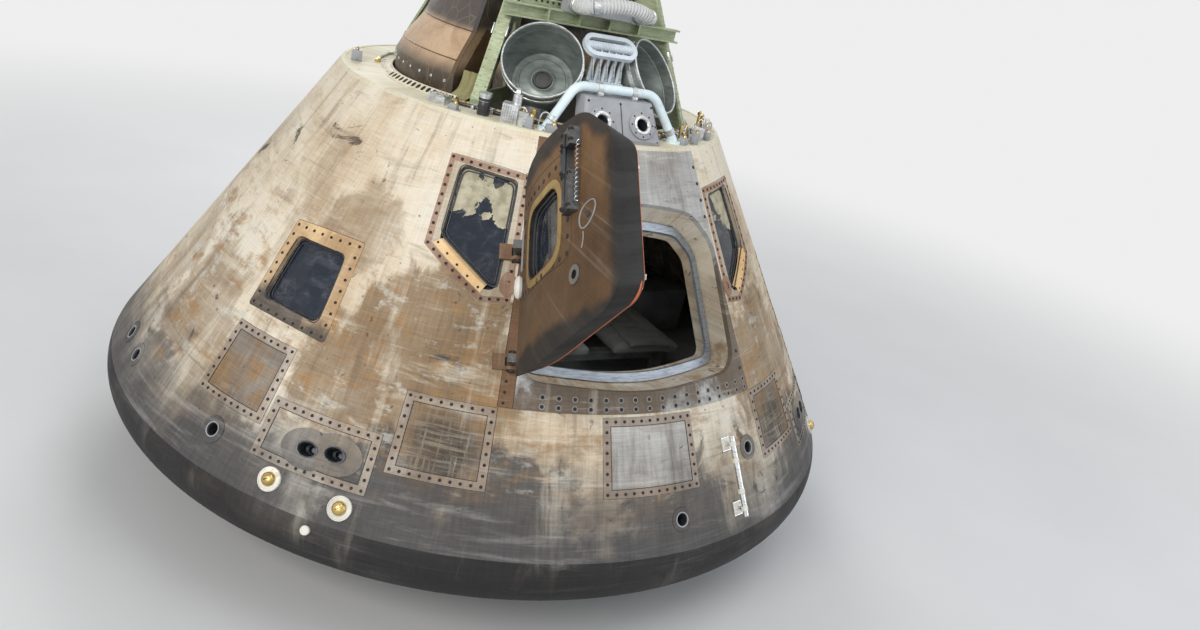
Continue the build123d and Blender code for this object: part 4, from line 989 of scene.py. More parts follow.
FINISHES = {
    "char": Ablator("charred_shield", tones((0.012, 0.012, 0.013), (0.035, 0.034, 0.034),
        (0.1, 0.093, 0.083)), patch=(0.24, 0.215, 0.175), patch_span=(0.15, 0.3),
        soot=(0.022, 0.021, 0.022), soot_span=(0.5, 0.9), streak=0.2, relief=0.8),
    "skin": Ablator("bleached_skin", SKIN_TONES, blots=BLOTS, scorches=SCORCHES, patch_share=0.4,
        mottle=0.8),
    "pale_skin": Ablator("pale_panel", tones((0.32, 0.31, 0.3), (0.5, 0.49, 0.47),
        (0.64, 0.63, 0.6)), patch_share=0.2),
    "surround": Ablator("surround_skin", tones((0.24, 0.22, 0.2), (0.42, 0.42, 0.41),
        (0.55, 0.56, 0.55)), patch=(0.15, 0.115, 0.085), patch_share=0.9, patch_span=(0.8, 1.5),
        blots=((24, 1.4, 0.5, 0.95), (-10, 1.15, 0.5, 0.9))),
    "panel_skin": Ablator("panel_skin", ((0.3, (0.1, 0.075, 0.055)), (0.45, (0.18, 0.14, 0.11)),
        (0.6, (0.25, 0.22, 0.19)), (0.75, (0.34, 0.32, 0.29))), patch=(0.27, 0.165, 0.075),
        patch_share=0.7, soot_span=(0.6, 0.95), mottle=0.35,
        plaid_at=((-30.35, 0.97), (30.35, 0.97)), streak=0.35),
    "cup_metal": Metal("cup_metal", (0.25, 0.28, 0.265), (0.15, 0.16, 0.15), 0.6, (0.36, 0.5),
        grain=(8, 8, 30)),
    "enamel": Paint("enamel", (0.62, 0.68, 0.73), (0.4, 0.41, 0.42), 0.2, (0.25, 0.4)),
    "steel_blue": Metal("steel_blue", (0.34, 0.38, 0.43), (0.16, 0.15, 0.14), 0.7, (0.34, 0.5)),
    "strip_rust": Ablator("strip_rust", tones((0.06, 0.035, 0.02), (0.16, 0.085, 0.045),
        (0.26, 0.16, 0.095)), patch_share=0.3, streak=0.15, soot_span=(0.2, 0.4)),
    "frame_cream": Ablator("cream_frame", tones((0.3, 0.24, 0.16), (0.46, 0.4, 0.3),
        (0.6, 0.54, 0.43)), patch_share=0.3, streak=0.2, relief=0.2, spot=0.3),
    "frame_side": Ablator("side_frame", tones((0.36, 0.22, 0.11), (0.54, 0.38, 0.22),
        (0.66, 0.52, 0.35)), patch=(0.85, 0.6, 0.33), patch_share=0.95, patch_span=(1.68, 1.8),
        streak=0.15, relief=0.2, spot=0.3, soot=(0.075, 0.066, 0.058), soot_span=(1.18, 1.34)),
    "frame_ochre": Ablator("ochre_frame", tones((0.15, 0.09, 0.035), (0.32, 0.22, 0.085),
        (0.45, 0.33, 0.15)), patch_share=0.2, streak=0.1, relief=0.2, soot_span=(0.2, 0.4)),
    "rail_blue": Paint("rail_paint", (0.72, 0.83, 0.87), (0.35, 0.36, 0.36), 0.25),
    "frame_tan": Ablator("tan_frame", tones((0.44, 0.3, 0.16), (0.68, 0.51, 0.3),
        (0.78, 0.63, 0.42)), patch_share=0.35, patch=(0.36, 0.23, 0.11), streak=0.15, relief=0.2,
        spot=0.3, soot=(0.12, 0.1, 0.085), soot_span=(1.12, 1.36)),
    # Hatch and hatch window frame: rust-brown char with a dark patch, both darkened as painted
    # shade for the shade on the swung hatch.
    "rust_skin": Ablator("rust_skin", HATCH_RUST_AND_SHADE_TONES, patch=(0.1, 0.068, 0.042), streak=0.12,
        soot_span=(0.2, 0.4), away=(-0.974, 0.228, 0.018), edge_planes=HATCH_EDGES),
    "pane": Glass("window_glass"),
    "coated_pane": Glass("coated_glass", coated=True),
    "collar_grey": Paint("collar_grey", (0.26, 0.25, 0.24), (0.12, 0.1, 0.09), grain=90),
    "disc_white": Paint("disc_white", (0.75, 0.73, 0.66), (0.5, 0.36, 0.15)),
    "chrome": Metal("chrome", (0.78, 0.79, 0.8), metallic=1.0, rough=(0.08, 0.2), stained=0.1),
    "cabin_grey": Paint("cabin_grey", (0.34, 0.36, 0.36), (0.55, 0.55, 0.53)),
    "couch_cloth": Cloth("couch_cloth", (0.42, 0.42, 0.38), (0.25, 0.23, 0.19)),
    "bare_metal": Metal("bare_metal", (0.6, 0.62, 0.62)),
    "ring_cream": Ablator("ring_cream", ((0.3, (0.5, 0.44, 0.3)), (0.5, (0.72, 0.67, 0.52)),
        (0.75, (0.8, 0.77, 0.64))), patch_share=0.0, soot_span=(0, 0.1), streak=0.1, relief=0.15),
    "lagging": Film("lagging", (0.5, 0.36, 0.22), (0.3, 0.19, 0.1), (0.11, 0.11, 0.1)),
    "chromate": Metal("chromate", (0.37, 0.42, 0.27), (0.25, 0.24, 0.13), 0.25, (0.4, 0.6)),
    "port_grey": Ablator("scorched_collar", tones((0.09, 0.083, 0.075), (0.2, 0.185, 0.165),
        (0.33, 0.31, 0.28)), patch_share=0.4, streak=0.15, soot_span=(0.7, 1.0)),
    "block_grey": Paint("block_grey", (0.34, 0.35, 0.37), (0.2, 0.2, 0.2)),
    "hose_cloth": Cloth("hose_cloth", (0.72, 0.73, 0.72), (0.45, 0.43, 0.38)),
    "khaki_cloth": Cloth("khaki_cloth", (0.36, 0.33, 0.15), (0.22, 0.19, 0.09)),
    "black_fitting": Paint("black_fitting", (0.03, 0.03, 0.032), (0.2, 0.19, 0.17),
        rough=(0.3, 0.5)),
    "gasket": Paint("gasket_red", (0.48, 0.13, 0.05), (0.2, 0.08, 0.05), rough=(0.45, 0.6)),
    "band_brown": Ablator("brown_band", tones((0.2, 0.11, 0.07), (0.34, 0.21, 0.145),
        (0.44, 0.32, 0.25)), patch=(0.2, 0.12, 0.075), patch_share=0.5, streak=0.15),
    "band_grey": Ablator("grey_band", tones((0.2, 0.15, 0.115), (0.34, 0.28, 0.23),
        (0.46, 0.41, 0.36)), patch_share=0.4, streak=0.25, soot_span=(0.55, 0.95)),
    "reveal_orange": Ablator("orange_reveal", ((0.3, (0.7, 0.42, 0.18)), (0.55, (0.86, 0.6, 0.32)),
        (0.75, (0.88, 0.7, 0.45))), patch_share=0.0, streak=0.1, relief=0.2, soot_span=(0.2, 0.4)),
    "nozzle_dark": Metal("nozzle_dark", (0.06, 0.065, 0.075), (0.03, 0.03, 0.03), 0.7, (0.3, 0.5)),
    "copper_panel": Film("copper_panel", (0.15, 0.085, 0.04), (0.08, 0.045, 0.02),
        (0.08, 0.05, 0.03), metallic=0.2, shine=0.1),
    "mesh_dark": MeshScreen("mesh_screen"),
    "strap_cloth": Cloth("strap_cloth", (0.5, 0.48, 0.4), (0.3, 0.27, 0.2), 700),
    "wall_cloth": Cloth("wall_cloth", (0.42, 0.4, 0.33), (0.25, 0.22, 0.17), 260),
    "bolt": Paint("bolt_dark", (0.012, 0.01, 0.009), (0.07, 0.045, 0.03), 0.15, (0.6, 0.85)),
    "brass": Metal("brass", (0.62, 0.45, 0.18), (0.2, 0.13, 0.05), 1.0, (0.2, 0.4)),
    "copper_film": Film("copper_film", (0.58, 0.41, 0.26), (0.4, 0.25, 0.14), (0.03, 0.028, 0.024),
        metallic=0.15, shine=0.12)}


@dataclass
class Paintbox:
    """Materials by slot, each built once."""

    made: dict[str, Material] = field(default_factory=dict)

    def material(self, slot: str) -> Material:
        """Material of one slot."""
        if slot not in self.made:
            self.made[slot] = FINISHES[slot].build()
        return self.made[slot]

    def dress_frame(self, frame: dict) -> None:
        """Gives every CAD node a detailed material: the finish that NODE_FINISH names for it, else
        that of its own slot.
        """
        slots = {part["node"]: part["material_slot"] for part in frame["record"]["subparts"]}
        for name, node in frame["nodes"].items():
            finish = NODE_FINISH.get(name, slots[name])
            for held in node.material_slots:
                held.material = self.material(finish)
            LOG.info("dressed %s in %s", name, finish)

    def put(self, form: Shape | Piece | list[Piece], name: str, slot: str,
            places: Iterable[Matrix] | None = None, body: str = CAPSULE) -> Piece:
        """Finishes, names and paints a form and lets it ride.

        Args:
            form: a shape, a mesh object with its place in its mesh, or several to join.
            name: name of the piece.
            slot: its finish, which the record knows too where it is one of its slots.
            places: matrix of each copy, where the form is a model at the origin.
            body: CAD body that carries it.

        Returns:
            The piece.
        """
        piece = form.done() if isinstance(form, Shape) else form
        piece = joined(piece) if isinstance(piece, list) else piece
        piece = piece if places is None else copied(piece, places)
        piece.name = piece.data.name = name
        activate(piece)
        bpy.ops.object.shade_smooth_by_angle(angle=SMOOTH)
        piece.data.materials.clear()
        piece.data.materials.append(self.material(slot))
        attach(piece, body)
        LOG.info("made %s, %d faces, on %s", name, len(piece.data.polygons), body)
        return piece


NODE_FINISH = {"fore_window_panes": "coated_pane", "bay_covers": "copper_film",
    "hatch_foot_panel": "pale_skin", "side_panels": "panel_skin", "front_panels": "panel_skin",
    "mortar_cups": "cup_metal", "arch_handrail": "rail_blue", "hatch_surround": "surround",
    "hinge_strip": "strip_rust", "hinge_brackets": "strip_rust",
    "fore_window_frames": "frame_cream", "side_window_frames": "frame_side",
    "hatch_window_frame": "rust_skin", "hatch_seal_frame": "steel_blue", "recovery_loop": "enamel",
    "twin_port_collars": "port_grey", "port_collars": "port_grey"}


@dataclass(frozen=True)
class Studio:
    """Camera at the photograph's viewing angle, lamps, floor and pale surroundings."""

    eye: Vector = Vector((-2.24043, -4.39709, 2.97382))
    right: Vector = Vector((0.85506, -0.47227, 0.21409))
    up: Vector = Vector((0.01231, 0.43126, 0.90215))
    ahead: Vector = Vector((0.51838, 0.76875, -0.37457))
    lens: float = 27.83
    pale: Colour = (0.86, 0.86, 0.86)

    def camera(self) -> None:
        """Camera as the photograph was taken."""
        data = bpy.data.cameras.new("camera")
        data.lens, data.sensor_width = self.lens, 36.0
        data.clip_start, data.clip_end = 0.05, 200.0
        eye = bpy.data.objects.new("camera", data)
        turn = Matrix((self.right, self.up, -self.ahead)).transposed().to_4x4()
        eye.matrix_world = Matrix.Translation(self.eye) @ turn
        bpy.context.collection.objects.link(eye)
        bpy.context.scene.camera = eye

    def lamp(self, name: str, spot: Point, size: float, power: float,
            colour: Colour = (1, 1, 1)) -> None:
        """Soft square lamp that faces the middle of the capsule."""
        data = bpy.data.lights.new(name, "AREA")
        data.size, data.energy, data.color = size, power, colour
        lamp = bpy.data.objects.new(name, data)
        aim = Vector((0, 0, 1.3)) - Vector(spot)
        lamp.matrix_world = aimed(spot, aim, "-Z")
        bpy.context.collection.objects.link(lamp)

    def seen_white(self, tree: bpy.types.NodeTree) -> Socket:
        """1 for camera, glossy and transmission rays."""
        path = tree.nodes.new("ShaderNodeLightPath")
        total = path.outputs["Is Camera Ray"]
        for name in ("Is Glossy Ray", "Is Transmission Ray"):
            node = tree.nodes.new("ShaderNodeMath")
            node.operation = "MAXIMUM"
            tree.links.new(total, node.inputs[0])
            tree.links.new(path.outputs[name], node.inputs[1])
            total = node.outputs[0]
        return total

    def build(self) -> None:
        """Makes the whole studio."""
        bpy.context.scene.view_settings.view_transform = "Standard"
        self.camera()
        world = bpy.data.worlds.new("studio")
        bpy.context.scene.world = world
        world.use_nodes = True
        tree = world.node_tree
        light = tree.nodes["Background"]
        light.inputs[0].default_value = (0.9, 0.95, 1.0, 1)
        light.inputs[1].default_value = 0.45
        shown = tree.nodes.new("ShaderNodeBackground")
        shown.inputs[0].default_value = (*self.pale, 1)
        mix = tree.nodes.new("ShaderNodeMixShader")
        tree.links.new(self.seen_white(tree), mix.inputs[0])
        tree.links.new(light.outputs[0], mix.inputs[1])
        tree.links.new(shown.outputs[0], mix.inputs[2])
        tree.links.new(mix.outputs[0], tree.nodes["World Output"].inputs[0])
        floor = Shape(Start.GRID, x_subdivisions=2, y_subdivisions=2, size=160).done()
        floor.name = "floor"
        g = Graph("floor_paint")
        fine = g.noise(0.8, 4, 0.5)
        tone = g.ramp(fine, ((0.3, (0.66, 0.66, 0.66)), (0.7, (0.7, 0.7, 0.7))))
        g.finish({"Base Color": tone, "Roughness": 0.7})
        flat = g.vector("LENGTH", g.place)
        glow = g.add("ShaderNodeEmission", {0: (*self.pale, 1)}).outputs[0]
        share = g.times(g.ease(flat, 3.0, 11.0), self.seen_white(g.tree))
        both_shades = g.add("ShaderNodeMixShader", {0: share, 1: g.shader.outputs[0], 2: glow})
        g.tree.links.new(both_shades.outputs[0], g.tree.nodes["Material Output"].inputs[0])
        floor.data.materials.append(g.material)
        self.lamp("key", (-6.4, -5.0, 5.6), 3.6, 400, (1.0, 0.97, 0.93))
        self.lamp("fill", (5.5, -5.0, 3.5), 5.0, 90, (0.9, 0.95, 1.0))
        self.lamp("top", (1.0, -4.2, 8.4), 4.0, 150, (0.97, 0.98, 1.0))
        self.lamp("back", (1.5, 6.5, 5.5), 4.0, 240)


@dataclass(frozen=True)
class Opening:
    """How the hatch hangs at rest: closed places turned about the hinge."""

    foot: Vector
    axis: Vector
    angle: float

    @classmethod
    def of(cls, frame: dict) -> "Opening":
        """Reads the hinge of the frame."""
        joint = frame["joints"][0]
        shut = max(joint["range_deg"])
        return cls(Vector(joint["pos_m"]), Vector(joint["axis"]).normalized(), math.radians(shut))

    def matrix(self) -> Matrix:
        """Turns a place on the closed hatch to where the open one has it."""
        to_hinge = Matrix.Translation(self.foot)
        return to_hinge @ Matrix.Rotation(-self.angle, 4, self.axis) @ to_hinge.inverted()


@dataclass
class Trim:
    """Small forms of one region, all on one body."""

    paint: Paintbox
    body = CAPSULE

    @property
    def put(self) -> Callable[..., Piece]:
        """Finishes, names and paints a form that rides on the body."""
        return partial(self.paint.put, body=self.body)


@dataclass
class WindowTrim(Trim):
    """Bands, reveals and gasket beads round the four cabin windows."""

    side_frame: Outline = ((-68.8, 1.558), (-52.4, 1.579), (-51.5, 1.198), (-68.0, 1.202))
    side_glass: Outline = ((-66.4, 1.506), (-55.0, 1.514), (-54.0, 1.25), (-66.2, 1.252))
    fore_frame: Outline = ((-42.9, 1.991), (-24.5, 1.973), (-24.5, 1.504), (-29.7, 1.491),
        (-41.9, 1.646))
    fore_seal: Outline = ((-40.0, 1.962), (-26.9, 1.945), (-27.2, 1.552), (-28.9, 1.56),
        (-38.6, 1.686), (-39.5, 1.71))
    bend: float = 0.038
    bead_deep: float = 0.02

    def shelf(self, corners: Outline) -> Piece:
        """Flat bright strip between four corners on the skin, its inner edge folded down."""
        shape = Shape(Start.GRID, x_subdivisions=12, y_subdivisions=3, size=1)
        (a0, z0), (a1, z1), (a2, z2), (a3, z3) = corners

        def rule(co: Vector) -> Vector:
            """Lays one vertex between the corners."""
            u, v = co.x + 0.5, co.y + 0.5
            low = (a0 + (a1 - a0) * u, z0 + (z1 - z0) * u)
            high = (a3 + (a2 - a3) * u, z3 + (z2 - z3) * u)
            return CONE.point(low[0] + (high[0] - low[0]) * v, low[1] + (high[1] - low[1]) * v,
                0.0014 if v < 0.9 else -0.014)

        return modify(shape.move(rule).outwards().done(), "SOLIDIFY", thickness=0.0022, offset=0.0)

    def bead(self, outline: Outline, grow: float, out: float, radius: float) -> Piece:
        """Closed bead that follows a rounded outline on the skin."""
        line = CONE.rounded(CONE.inset(outline, grow), self.bend, 3)
        return tube([CONE.point(a, z, out) for a, z in line], radius, 2, closed=True)

    def build(self) -> None:
        """Makes the bands, reveals and beads."""
        put = self.put
        bands = [band(o, CONE.inset(o, 0.026)) for o in both(self.fore_frame)]
        put(bands, "fore_window_bands", "band_brown")
        edge = [(-40.3, 1.657), (-29.9, 1.523), (-28.9, 1.56), (-38.6, 1.686)]
        put([self.shelf(o) for o in both(edge)], "fore_window_reveals", "reveal_orange")
        for name, glass in (("side_window", self.side_glass), ("fore_window", self.fore_seal)):
            seals = [self.bead(o, 0.001, -self.bead_deep, 0.0045) for o in both(glass)]
            put(seals, f"{name}_seals", "black_fitting")
            lips = [self.bead(o, -0.003, -0.001, 0.0028) for o in both(glass)]
            put(lips, f"{name}_lips", "nozzle_dark")
            inner = [self.bead(o, 0.012, -self.bead_deep - 0.004, 0.003) for o in both(glass)]
            put(inner, f"{name}_retainers", "nozzle_dark")


@dataclass
class BoltRows(Trim):
    """Rows of sunk bolts with dark plugs round every frame, panel and doorway."""

    trim: WindowTrim
    head_r: float = 0.007
    doorway_pitch: float = 0.068

    def bolt(self, radius: float, out: float = 0.0012) -> Piece:
        """One bolt: a low dished ring round a sunk plug."""
        shape = Shape(Start.DISC, vertices=10, radius=radius, depth=2 * out)
        shape.facing(2).inset(radius * 0.3)
        shape.extrude((0, 0, -out * 0.6)).resize((0.8, 0.8, 1))
        return shape.done()

    def rows(self, name: str, lines: Sequence[Outline], pitch: float, slot: str = "bolt",
            radius: float | None = None, closed: bool = True, lift: float = 0.0) -> None:
        """Bolts along several lines on the skin.

        Args:
            name: name of the piece.
            lines: corners of each line.
            pitch: distance between neighbours.
            slot: finish of the bolts.
            radius: radius of a head.
            closed: whether each line is an outline.
            lift: height of what they sit on over the skin.
        """
        places = [CONE.matrix(a, z, lift) for line in lines for a,
            z in CONE.walk(line, pitch, closed)]
        self.put(self.bolt(radius or self.head_r), name, slot, places)

    def build(self, panels: Sequence[Outline]) -> None:
        """Makes every row."""
        side, fore = both(self.trim.side_frame), both(self.trim.fore_frame)
        self.rows("side_window_bolts", [CONE.inset(o, 0.022) for o in side], 0.049)
        self.rows("fore_window_bolts", [CONE.inset(o, 0.014) for o in fore], 0.041, lift=0.0018)
        shelf = both([(-39.4, 1.662), (-30.4, 1.54)])
        self.rows("fore_reveal_bolts", shelf, 0.06, closed=False, radius=0.0055, lift=0.0024)
        self.rows("panel_bolts", [CONE.inset(o, 0.019) for o in panels], 0.041, radius=0.0068,
            lift=0.0018)
        lower = [[(-17.5, z), (23.0, z)] for z in (1.163, 1.196)]
        right = [[(23.0, 1.24), (23.0, 1.31)], [(23.0, 1.86), (23.0, 2.06)]]
        left = [[(-23.2, 1.16), (-23.2, 1.31)], [(-23.2, 1.86), (-23.2, 2.0)]]
        self.rows("doorway_bolts", lower + right, self.doorway_pitch, closed=False, radius=0.0085)
        rims = [CONE.matrix(a, z, 0.0004) for line in lower for a,
            z in CONE.walk(line, self.doorway_pitch, False)]
        self.put(lathe(16, 8.6, -1, 8.6, 0.8, 13, 0.8, 13.5, -1), "doorway_washers", "collar_grey",
            rims)
        self.rows("hinge_strip_bolts", left, 0.05, closed=False, radius=0.0065)


@dataclass
class SkinPanels(Trim):
    """Border strips of the bolted access panels, and the doubler tabs by the hinge."""

    def build(self, panels: Sequence[Outline]) -> None:
        """Makes the borders and the tabs."""
        borders = [band(CONE.inset(o, 0.002), CONE.inset(o, 0.037)) for o in panels]
        self.put(borders, "panel_borders", "band_grey")
        lips = [band(CONE.inset(o, 0.037), CONE.inset(o, 0.0395), -0.0004, 0.0022) for o in panels]
        self.put(lips, "panel_lips", "bolt")
        tabs = []
        for side in (-1, 1):
            plate = lathe(28, 11, 3, 34, 3, 36, 0, 36, -4)
            plate.all().resize((1, 1.45, 1))
            tabs.append(plate.done(CONE.matrix(side * 25.4, 1.57, 0.001)))
        self.put(tabs, "hinge_doublers", "band_brown")


@dataclass
class Ports(Trim):
    """Nozzle throats in the thruster ports and brass knobs on the tie discs."""

    single: Outline = ((-61.2, 0.768), (61.2, 0.768), (-90.5, 0.771), (90.5, 0.771), (-84.1, 0.757),
        (84.1, 0.757), (20.0, 0.934), (4.0, 0.75))
    discs: Outline = ((-50.3, 0.712), (-40.6, 0.704), (50.3, 0.712))
    throat_r: float = 0.0266
    twin_at: Pair = (-45.4, 0.857)
    twin_step: Pair = (0.058, 0.008)
    twin_mouth: Triple = (0.044 / 0.0272, 0.03 / 0.0272, 1)

    def throat(self) -> Piece:
        """Stepped nozzle that narrows to a dark end."""
        r = self.throat_r
        return turned([(r, -0.09), (r, -0.004), (r - 0.003, -0.003), (r - 0.004, -0.02),
            (r * 0.78, -0.03), (r * 0.74, -0.055), (r * 0.5, -0.06), (r * 0.45, -0.085),
            (0, -0.087)], 28).done()

    def build(self) -> None:
        """Makes the throats, their rings and the knobs."""
        put = self.put
        places = [CONE.matrix(a, z) for a, z in self.single]
        put(self.throat(), "port_throats", "nozzle_dark", places)
        put(lathe(28, 29, -2, 28.5, 3.5, 33, 4.2, 35, -2), "port_rings", "block_grey", places)
        azimuth, height = self.twin_at
        across, up = self.twin_step
        twin = [CONE.matrix(s * azimuth, height) @ at(x * across, s * x * up, 0)
            @ Matrix.Diagonal((*self.twin_mouth, 1)) for s in (-1, 1) for x in (-1, 1)]
        put(self.throat(), "twin_port_throats", "nozzle_dark", twin)
        put(lathe(36, 26.6, -2, 26.6, 2.8, 30.5, 3.2, 32, -1), "twin_port_lips", "nozzle_dark",
            twin)
        # The plug is a real fitting; its white dome is a painted reflection, white paint standing
        # for a lamp's reflection in a polished plug.
        put(lathe(24, 19, -12, 19, 4, 14, 7, 0, 7.5).done(CONE.matrix(-43.7, 0.602)), "skin_plug",
            "disc_white")
        put(lathe(28, 28, 4, 29.5, 11, 27, 20, 18, 28, 7, 31, 0, 31.2), "tie_knobs", "brass",
            [CONE.matrix(a, z) for a, z in self.discs])
        # The tie fittings and brass knobs are real; the white of these rims is a painted
        # reflection, standing for a lamp's reflection in polished plugs.
        put(lathe(32, 44, 6, 45.5, 10.5, 49, 10.5, 50.5, 4), "tie_rims", "disc_white",
            [CONE.matrix(a, z) for a, z in self.discs])
        slots = [CONE.matrix(a, z, 0.0305) @ turn(35, "Z") for a, z in self.discs]
        put(block((0.022, 0.0035, 0.003), 0.0008), "tie_slots", "bolt", slots)


@dataclass
class Handhold(Trim):
    """Pads, screws and sleeves of the grab rail beside the hatch."""

    azimuth: float = 14.5
    heights: Pair = (0.7, 1.01)

    def build(self) -> None:
        """Makes the fittings."""
        low, high = self.heights
        pads = [CONE.matrix(self.azimuth, z) for z in (low + 0.03, high - 0.03)]
        put = self.put
        put(block((0.05, 0.056, 0.008), 0.002), "handhold_pads", "disc_white",
            [p @ at(0, 0, 0.007) for p in pads])
        spots = [p @ at(x * 0.018, y * 0.02, 0.0105) for p in pads for x in (-1, 1)
            for y in (-1, 1)]
        put(screw(0.0045, 0.002), "handhold_screws", "bare_metal", spots)
        sleeve = lathe(24, 13.2, -11, 15.5, -9, 15.5, 9, 13.2, 11)
        middle = CONE.matrix(self.azimuth, (low + high) / 2, 0.048)
        places = [middle @ at(0, y, 0) @ turn(90, "X") for y in (-0.148, -0.07, 0.07, 0.148)]
        put(sleeve, "handhold_sleeves", "disc_white", places)


@dataclass
class HatchFace(Trim):
    """Outside of the side hatch: window beads and bolts, port ring, tag, linkage and trim."""

    body = HATCH
    opening: Opening
    glass: Outline = ((-0.135, 1.0), (0.192, 1.0), (0.192, 1.272), (-0.135, 1.272))
    frame: Outline = ((-0.25, 0.952), (0.292, 0.952), (0.292, 1.215), (0.235, 1.36), (-0.25, 1.36))
    links: Sequence[tuple[Pair, Pair]] = (((0.262, 1.395), (0.338, 1.33)),
        ((0.262, 1.34), (0.292, 1.23)), ((0.27, 1.24), (0.335, 1.1)))

    def place(self, x: float, slant: float, out: float = 0.0) -> Matrix:
        """Place on the swung hatch by its spot on the shut one."""
        return self.opening.matrix() @ CONE.matrix(*CONE.on_hatch(x, slant), out)

    def outline(self, corners: Outline, by: float, bend: float) -> list[Pair]:
        """Rounded outline on the shut hatch, moved in by a distance."""
        return CONE.rounded(CONE.inset([CONE.on_hatch(x, s) for x, s in corners], by), bend, 5)

    def swung(self, piece: Piece) -> Piece:
        """Swings a piece made on the shut hatch."""
        piece.data.transform(self.opening.matrix())
        return piece

    def window(self) -> None:
        """Makes the beads, the raised lip and the bolts of the window."""
        put = self.put
        for name, by, out, radius, slot in (("hatch_window_seal", 0.001, -0.02, 0.005,
                "black_fitting"), ("hatch_window_lip", -0.004, 0.0, 0.0035, "frame_ochre"),
                ("hatch_window_retainer", 0.014, -0.026, 0.0035, "nozzle_dark")):
            line = [CONE.point(a, z, out) for a, z in self.outline(self.glass, by, 0.09)]
            put(self.swung(tube(line, radius, 2, closed=True)), name, slot)
        step = band(self.outline(self.glass, -0.028, 0.11), self.outline(self.glass, -0.006, 0.09),
            -0.0004, 0.0026, 1)
        put(self.swung(step), "hatch_window_step", "frame_ochre")
        line = CONE.walk(CONE.inset([CONE.on_hatch(x, s) for x, s in self.frame], 0.028), 0.056)
        bolt = lathe(14, 9.2, -1, 9.2, 1, 7.4, 1.6, 6.2, 0.5, 0, 0.5)
        swing = self.opening.matrix()
        put(bolt, "hatch_window_bolts", "bolt", [swing @ CONE.matrix(a, z) for a, z in line])

    def fittings(self) -> None:
        """Makes the port ring, the tag, the vent knob and its slot."""
        put = self.put
        put(lathe(28, 16, -20, 15.5, 3, 21, 4.5, 33, 3, 34.5, -1).done(self.place(0.318, 0.885)),
            "hatch_port_ring", "port_grey")
        tag = [(0.35, 1.095), (0.42, 1.1), (0.438, 1.065), (0.415, 1.025), (0.365, 1.008),
            (0.338, 1.045)]
        line = [self.place(x, s, 0.002).translation for x, s in tag]
        put(tube(line, 0.0032, 2, closed=True), "hatch_tag_ring", "collar_grey")
        tail = [self.place(x, s, 0.0015).translation for x, s in ((0.366, 1.008), (0.372, 0.985),
            (0.36, 0.955))]
        put(tube(tail, 0.0022, 2), "hatch_tag_tail", "collar_grey")
        put(lathe(20, 12, -2, 12, 2, 9, 3.5, 0, 3.5).done(self.place(0.39, 1.056)),
            "hatch_tag_plug", "black_fitting")
        knob = lathe(28, 20, -4, 30, 0, 34, 10, 30, 21, 18, 27, 6, 28, 5, 24, 0, 24)
        knob.all().resize((1, 1.35, 1))
        put(knob.done(self.place(-0.305, 1.03)), "hatch_vent_knob", "disc_white")
        slot = block((0.03, 0.17, 0.006), 0.003)
        slot.facing(2).inset(0.007).extrude((0, 0, -0.004))
        put(slot.done(self.place(-0.3, 1.178)), "hatch_vent_slot", "collar_grey")

    def linkage(self) -> None:
        """Makes the rods, nuts and spring that ride on the linkage bars."""
        put = self.put
        rods, heads = [], []
        for (x0, s0), (x1, s1) in self.links:
            for share in (0.25, 0.75):
                x = x0 + (x1 - x0) * share
                rods.append(bar(self.place(x, s0 - 0.008, 0.03).translation,
                    self.place(x, s1 + 0.008, 0.03).translation, 0.007))
            for x in (x0 + 0.014, x1 - 0.014):
                for s in (s0 - 0.014, s1 + 0.014):
                    heads.append(self.place(x, s, 0.03))
        put(rods, "hatch_link_rods", "black_fitting")
        put(lathe(6, 9.5, -6, 9.5, 6, 7.5, 9, 4, 9, 4, 12, 0, 12), "hatch_link_nuts", "bolt", heads)
        spring = tube([self.place(0.345 + 0.008 * math.cos(i * 1.6), 1.33 - i * 0.0042,
            0.018 + 0.008 * math.sin(i * 1.6)).translation for i in range(52)], 0.0016, 1)
        put(spring, "hatch_link_spring", "bare_metal")

    def build(self) -> None:
        """Makes everything on the outside."""
        self.window()
        self.fittings()
        self.linkage()


@dataclass
class HatchPlan:
    """Outline of the hatch in its own plane, which narrows with depth."""

    corners: Sequence[Triple] = ((-0.565, 0.7, 0.105), (0.0, 0.7, 2.0), (0.565, 0.7, 0.105),
        (0.5, 1.285, 0.15), (0.35, 1.425, 0.15), (-0.35, 1.425, 0.15), (-0.5, 1.285, 0.15))
    taper: float = 0.41
    foot: float = 0.7
    top: float = 1.425
    tightest: float = 0.018

    def plane(self) -> Matrix:
        """Plane that touches the skin at the hatch's middle."""
        return CONE.matrix(*CONE.on_hatch(0, (self.foot + self.top) / 2))

    def ring(self, grow: float, depth: float) -> list[Vector]:
        """Points along the outline at a depth, in the hatch's plane.

        Args:
            grow: distance that the outline is moved out.
            depth: depth below the plane.

        Returns:
            Points with their z at the depth.
        """
        back = self.plane().inverted()
        local = []
        for x, slant, _ in self.corners:
            z = CONE.foot_z + slant * math.cos(CONE.half)
            r = CONE.radius(z)
            local.append(back @ Vector((x, -math.sqrt(r * r - x * x), z)))
        grow -= self.taper * (depth + local[0].z)
        flat = [Vector((p.x, p.y)) for p in local]
        radii = [max(bend + grow, self.tightest) for _, _, bend in self.corners]
        return [Vector((*spot, -depth)) for spot in bends(grown(flat, grow), radii, 6)]

    def layer(self, grow: float, depth: float) -> list[Vector]:
        """Points along the outline at a depth below the curved skin.

        Args:
            grow: distance that the outline is moved out.
            depth: depth below the skin.

        Returns:
            Points in the hatch's plane.
        """
        found = []
        for index, spot in enumerate(self.ring(grow, depth)):
            near = self.ring(grow - self.taper * self.sag(spot.x, spot.y), depth)[index]
            found.append(Vector((near.x, near.y, -depth - self.sag(near.x, near.y))))
        return found

    def sag(self, x: float, y: float) -> float:
        """How far the skin lies under the plane beside its middle line."""
        z = (self.plane() @ Vector((0, y, 0))).z
        r = CONE.radius(z)
        return (r - math.sqrt(max(r * r - x * x, 0.01))) * math.cos(CONE.half)


